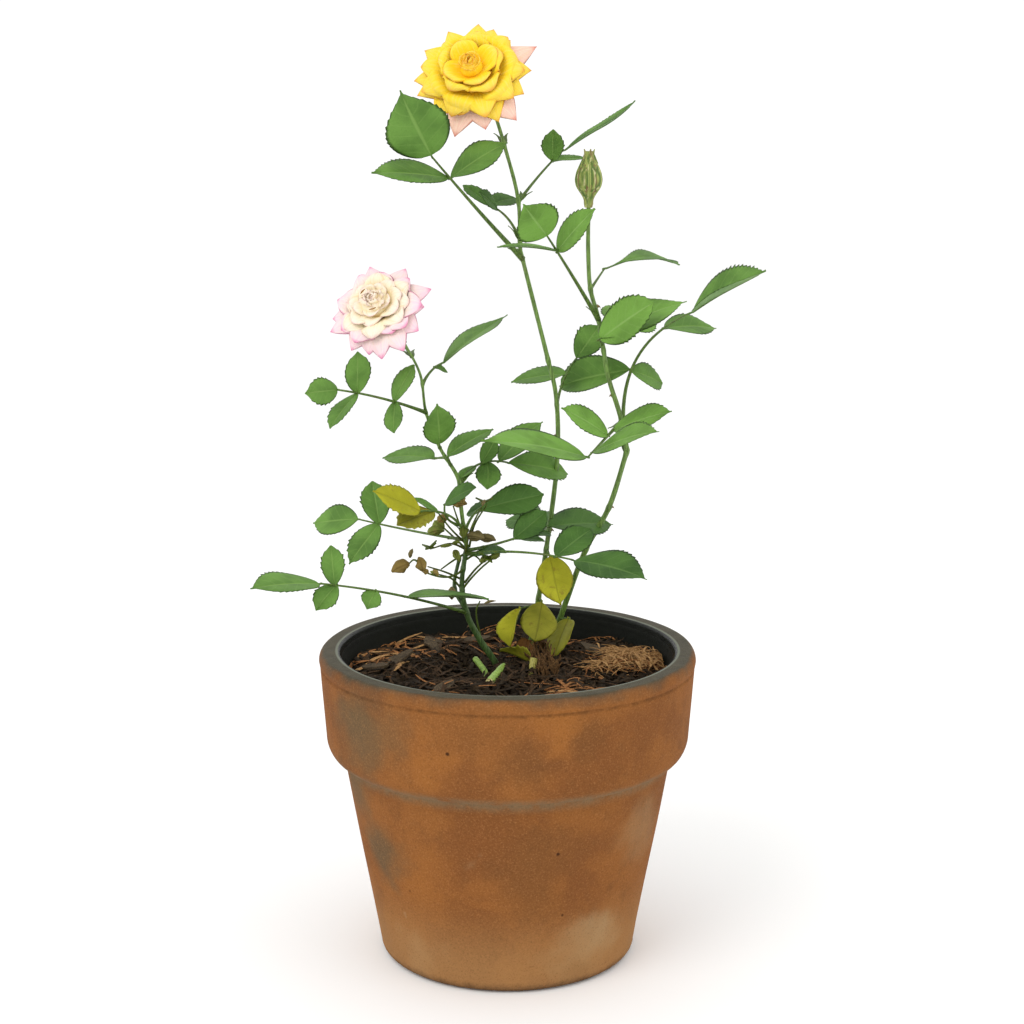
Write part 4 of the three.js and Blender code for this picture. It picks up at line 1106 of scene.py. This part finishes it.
def petal_skin(name, throat, middle, rim, edge, edge_share, pale="#fff8d8"):
    """A petal's soft skin: one colour in its throat, another to its rim, a stained edge and
    pale streaks that run out from the throat."""
    skin = Finish(name, 0.7, 0.1)
    where = skin.places()
    across, along, outward = across_along(skin)
    soft = skin.cloud(where, 0.25, 3.0)
    far = along + soft * 0.2
    skin.shade = skin.mix(far.rise(0.15, 0.6), throat, middle)
    skin.paint(far.rise(0.6, 1.1), rim)
    streaks = skin.cloud(skin.node("CombineXYZ", (0, across * 11.0), (1, along), (2, soft)), 1.6, 3.0)
    skin.paint(streaks.rise(0.48, 0.72, 0.4), pale)
    skin.paint(streaks.rise(0.46, 0.28, 0.3), throat)
    at_edge = outward.rise(0.84, 1.0).work("MAXIMUM", along.rise(0.9, 1.0))
    skin.paint(at_edge * along.rise(0.25, 0.6, edge_share), edge)
    lines = (across * 90.0).work("SINE")
    return skin.done(skin.cloud(where, 1.4, 3.0) + lines * 0.12, 0.12)


def bloom_heart(centre, up, steps):
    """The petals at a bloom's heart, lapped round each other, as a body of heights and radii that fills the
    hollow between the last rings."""
    heights, radii = zip(*steps)
    levels = np.linspace(heights[0], heights[-1], 18)
    return tube(centre + up * levels[:, None], np.interp(levels, heights, radii), sides=40,
                ribs=lambda turn, share: 1 + 0.07 * np.abs((3 * turn / math.pi + 2.5 * share) % 2 - 1))


def calyx(name, cane, centre, axes, reach):
    """The green cup under a bloom, drawn in at its neck, with five narrow sepals that
    reach out under the petals."""
    up = axes[0]
    start = paths[cane][-3]
    shares = np.linspace(0, 1, 12)[:, None]
    line = start + (centre - up * 5 - start) * shares
    heap = Heap()
    girth = np.interp(shares[:, 0], [0, 0.25, 0.55, 0.8, 1], [1.1, 1.5, 2.9, 2.6, 3.4])
    heap.add(*tube(line, girth, sides=14))
    for k in range(5):
        angle = math.radians(72 * k + 20)
        out = axes[1] * math.cos(angle) + axes[2] * math.sin(angle)
        spread = np.linspace(0, 1, 10)[:, None]
        lift = 2.5 * np.sin(spread * 3) - 4 * spread ** 2
        sepal = centre - up * 6 + out * (2 + reach * spread) + up * lift
        heap.add(*tube(sepal, np.array([1.6, 2.0, 2.0, 1.8, 1.5, 1.2, 0.9, 0.6, 0.35, 0.08]), 0.3, sides=8))
    heap.piece(name + "_calyx", [stalk_green], "green_leaf")


yellow_face = petal_skin("petal_yellow_face", "#f8be22", "#f8d62c", "#f3d050", "#e2903a", 0.7, "#f4dc84")
yellow_under = petal_skin("petal_yellow_under", "#f0c04c", "#f2cc70", "#f0c09c", "#e08a66", 0.7)
blush_face = petal_skin("petal_blush_face", "#f4d49c", "#f2cab4", "#eec0b0", "#d8705c", 0.75)

# The yellow bloom's outer petals: their turn round its axis, their reach and whether
# they are blushed pink.
YELLOW_OUTER = [
    (87, 25.5, 0), (102, 23.5, 0), (123, 21.5, 0), (144, 27, 1), (168, 21.5, 0), (197, 20, 0),
    (224, 24, 1), (239, 21, 0), (254, 21.5, 1), (283, 24.5, 1), (311, 21, 0), (343, 22.5, 0),
    (0, 23.5, 0), (33, 25, 0), (60, 25.5, 0)
]
# Rings inward of them: count, first turn, path out and up, width, wrap, belly, tip, roll.
YELLOW_RINGS = [
    (9, 12, [(1.5, -5), (8.5, -1.5), (14.5, 6), (20, -1)], 13.5, 0.3, 1.12, 0.62, 0.5),
    (6, 40, [(1.5, -5), (9, -3), (15.5, 11), (17.5, -2)], 17, 0.4, 1.3, 0.4, 0.6),
    (5, 15, [(1, -2), (8, -1), (10.5, 11), (13.4, 4.5)], 15.5, 0.95, 1.15, 0.4, 0.4),
    (4, 60, [(0.8, 2), (6.5, 2), (8, 9.5), (10.6, 7)], 13, 1.0, 1.15, 0.4, 0.3),
    (4, 10, [(0.6, 2), (2.4, 2.5), (3.8, 9), (4.0, 8)], 7, 1.0, 1.12, 0.45, 0.15),
    (3, 50, [(0.4, 3), (1.8, 4), (2.6, 9.2), (2.4, 9)], 5.5, 1.0, 1.12, 0.45, 0.05),
    (2, 20, [(0.3, 4), (1.0, 5), (1.3, 9.6), (0.5, 9.6)], 3.5, 1.0, 1.12, 0.45, 0.0),
]
yellow_centre = np.array([-13, -4, 347.5])
yellow_axes = blade_frame(-100, 33, 0)
yellow_petals, blush_petals = Heap(), Heap()
for turn, reach, blushed in YELLOW_OUTER:
    path = [(1.5, -6), (9, -1 - blushed), (16, 1.5 - 3 * blushed), (reach, -5.5 - blushed)]
    heap = blush_petals if blushed else yellow_petals
    heap.add(*petal(chance, yellow_centre, yellow_axes, turn, path, width=13, wrap=0.12, belly=1.12,
                    tip_power=0.95, roll_back=0.35))
add_rings(chance, yellow_petals, yellow_centre, yellow_axes, YELLOW_RINGS, 4, (0.93, 1.05), (0.94, 1.04),
          [(0, 0)] * len(YELLOW_RINGS), thick=0.45, ruffle=0.45)
YELLOW_HEART = [(1, 4.0), (4, 4.1), (6, 3.6), (7.6, 2.2), (8.3, 0.3)]
yellow_petals.add(*bloom_heart(yellow_centre, yellow_axes[0], YELLOW_HEART))
yellow_petals.piece("yellow_bloom_petals", [yellow_face, yellow_under], "yellow_petals", ["yellow_bloom"])
blush_petals.piece("yellow_bloom_blush_petals", [blush_face, yellow_under], "yellow_petals")
calyx("yellow_bloom", "yellow_bloom_cane", yellow_centre, yellow_axes, 12)

PINK_OUTER = [
    (60, 23), (74, 18.5), (101, 20), (147, 20.5), (169, 17), (202, 19), (228, 21.5), (252, 21),
    (268, 18.5), (293, 18.5), (333, 21), (349, 20), (8, 19), (23, 19), (42, 20)
]
# Its inner rings, as for the yellow bloom; the innermost three are cream.
PINK_RINGS = [
    (9, 5, [(1.2, -4), (7, -2), (11.5, 4), (16.5, 0.5)], 13, 0.25, 1.12, 0.62, 0.3),
    (8, 30, [(1, -3.5), (6, -1), (9.5, 6), (13.8, 2)], 12, 0.4, 1.12, 0.5, 0.35),
    (7, 0, [(0.8, -2), (4.5, 0), (7.2, 6.5), (10.8, 3.6)], 10.5, 0.5, 1.12, 0.45, 0.35),
    (5, 40, [(0.6, 0), (3.2, 1), (5.2, 7), (7.8, 5.4)], 8.5, 0.7, 1.12, 0.45, 0.3),
]
pink_face = petal_skin("petal_pink_face", "#eed2a4", "#f0dfd0", "#f0cad8", "#e47cac", 0.8)
pink_under = petal_skin("petal_pink_under", "#eed8b8", "#f0d8d2", "#f0c6d4", "#e47cac", 0.8)
cream_face = petal_skin("petal_cream_face", "#e4b654", "#f0e2bc", "#f0dfd0", "#eec6c0", 0.6)
speck_brown = two_tone("speck_brown", 0.8, 0.1, 1.5, "#6a4218", "#b0803c")
pink_centre = np.array([-48, -27, 262])
pink_axes = blade_frame(-115, 38, 0)
pink_petals = Heap()
for turn, reach in PINK_OUTER:
    path = [(1.2, -5), (7.5, 0), (13, 1), (reach, -3.5)]
    pink_petals.add(*petal(chance, pink_centre, pink_axes, turn, path, width=12, wrap=0.12, belly=1.12,
                           tip_power=0.8, roll_back=0.35))
add_rings(chance, pink_petals, pink_centre, pink_axes, PINK_RINGS, 9, (0.86, 1.1), (0.85, 1.12),
          [(0, 1), (2, 2), (2, 2), (2, 2)], thick=0.4, ruffle=0.9)
HEART_PETALS = 13
HEART_TURN = 137
up = pink_axes[0]
for k in range(HEART_PETALS):
    turn, reach = HEART_TURN * k, 0.8 + 0.34 * k
    tip = (reach * chance.uniform(0.5, 1.5), chance.uniform(6.5, 8.5))
    path = [(0.4, 0), (0.6 * reach, 3), (1.2 * reach, 9.5), tip]
    pink_petals.add(*petal(chance, pink_centre, pink_axes, turn, path, width=chance.uniform(3.4, 5.4),
                           wrap=0.8, belly=1.12, tip_power=0.45, roll_back=0.6, thick=0.7, ruffle=1.3,
                           skins=(2, 2)))
for turn, reach, height in ((0.5, 4.6, 7.4), (2.5, 4.2, 7.2), (4.3, 5.2, 6.6)):
    arc = np.linspace(turn - 0.28, turn + 0.28, 6)[:, None]
    fold = pink_centre + up * height + reach * (pink_axes[1] * np.cos(arc) + pink_axes[2] * np.sin(arc))
    pink_petals.add(*tube(fold, np.array([0.1, 0.25, 0.3, 0.3, 0.2, 0.1]), sides=6), picks=3)
pink_petals.add(*bloom_heart(pink_centre, up, [(1, 6.0), (3.5, 5.6), (5.2, 4.4), (6.4, 2.6), (6.9, 0.3)]),
                picks=2)
pink_petals.piece("pink_bloom_petals", [pink_face, pink_under, cream_face, speck_brown], "pink_petals",
                  ["pink_bloom"])
calyx("pink_bloom", "pink_bloom_cane", pink_centre, pink_axes, 8)

# ---------------------------------------------------------------- the bud
# A closed bud on its upright stem: a small round hip, and five ribbed sepals that close
# over the petals and part in little points at the top.
BUD_STEPS = [
    (0, 1.3), (1.2, 2.0), (2.8, 1.7), (5, 2.8), (8, 4.9), (10.8, 5.5), (14, 4.9), (17.5, 3.3), (20, 2.1),
    (21, 1.8), (22, 2.0)
]
husk = Finish("bud_sepals", 0.6, 0.25)
drawn = husk.moved("MULTIPLY", husk.places(), (1.0, 1.0, 0.09))
stripes = husk.cloud(drawn, 0.7, 2.0, 0.5)
husk.shade = husk.mix(stripes.rise(0.4, 0.62), "#587032", "#97a256")
husk.paint(husk.cloud(drawn, 0.8, 2.0).rise(0.52, 0.62, 0.8), "#7a5c40")
husk.paint(husk.cloud(drawn, 1.0, 2.0).rise(0.58, 0.66, 0.8), "#c8c290")
across, _, _ = across_along(husk)
to_seam = ((across * 5.0).work("FRACT") - 0.5).work("ABSOLUTE")
husk.paint(to_seam.rise(0.1, 0.04, 0.7), "#b8c670")
husk.paint(to_seam.rise(0.03, 0.0, 0.9), "#3a4a1e")
bud_skin = husk.done(stripes, 0.3)
foot = paths["bud_cane"][-1] + np.array([0, 0, -1.0])
levels = np.linspace(0, 22, 50)
bud_radius = np.interp(levels, *zip(*BUD_STEPS))
bud_radius = np.convolve(np.pad(bud_radius, 2, mode="edge"), np.ones(5) / 5, mode="valid")


def sepal_seams(turn, share):
    """Five sepals meet at shallow seams that run up the bud."""
    to_seam = np.abs(5 * turn / (2 * math.pi) % 1 - 0.5)
    return 1 - 0.09 * np.exp(-(to_seam / 0.07) ** 2) - 0.02 * np.cos(10 * turn)


bud = Heap()
bud.add(*tube(foot + np.stack([0 * levels, 0 * levels, levels], 1), bud_radius, sides=80, ribs=sepal_seams))
for k in range(5):
    angle = 2 * math.pi * k / 5
    rise = np.linspace(17, 22.8, 10)
    radius = np.interp(rise, levels, bud_radius) - 0.3 + np.clip(rise - 21, 0, 9) * 0.35
    line = foot + np.stack([radius * math.cos(angle), radius * math.sin(angle), rise], 1)
    bud.add(*tube(line, np.interp(rise, [17, 20, 22.8], [0.6, 0.75, 0.15]), sides=8))
bud.piece("rose_bud_sepals", [bud_skin], "bud_sepals", ["rose_bud"])

# ---------------------------------------------------------------- floor, light and camera
# A wide, flat, pale floor, one large soft lamp from the upper left front, a weaker one
# from the right, and an even white sky, all placed in metres.
floor_mesh = bpy.data.meshes.new("floor")
floor_mesh.from_pydata([(-6, -6, 0), (6, -6, 0), (6, 6, 0), (-6, 6, 0)], [], [(0, 1, 2, 3)])
floor = bpy.data.objects.new("floor", floor_mesh)
bpy.context.scene.collection.objects.link(floor)
floor_paint = Finish("floor_paint", 0.9, 0.1)
floor_paint.shader.inputs["Base Color"].default_value = colour("#fbfbfa")
floor_mesh.materials.append(floor_paint.material)


def soft_lamp(name, place, size, power):
    lamp = bpy.data.lights.new(name, "AREA")
    lamp.shape, lamp.size, lamp.energy = "DISK", size, power
    holder = bpy.data.objects.new(name, lamp)
    holder.location = place
    aim = np.array([0, 0, 0.18]) - np.array(place)
    pitch = math.atan2(-aim[2], math.hypot(aim[0], aim[1]))
    holder.rotation_euler = (math.pi / 2 - pitch, 0, math.atan2(aim[1], aim[0]) - math.pi / 2)
    bpy.context.scene.collection.objects.link(holder)


soft_lamp("key_lamp", (-0.8, -1.0, 1.3), 1.0, 8)
soft_lamp("fill_lamp", (1.2, -0.7, 0.8), 1.0, 2)
sky = bpy.data.worlds.new("sky")
sky.use_nodes = True
daylight = sky.node_tree.nodes["Background"]
daylight.inputs["Color"].default_value = (1, 1, 1, 1)
daylight.inputs["Strength"].default_value = 1.06
bpy.context.scene.world = sky
bpy.context.scene.view_settings.view_transform = "Standard"

CAMERA_PLACE = (0, -0.766, 0.3331)
LOOKS_DOWN = 11.36
lens = bpy.data.cameras.new("camera")
lens.lens, lens.sensor_width, lens.shift_x = 70, 36, 0.0043
camera = bpy.data.objects.new("camera", lens)
camera.location = CAMERA_PLACE
camera.rotation_euler = (math.radians(90 - LOOKS_DOWN), 0, 0)
bpy.context.scene.collection.objects.link(camera)
bpy.context.scene.camera = camera
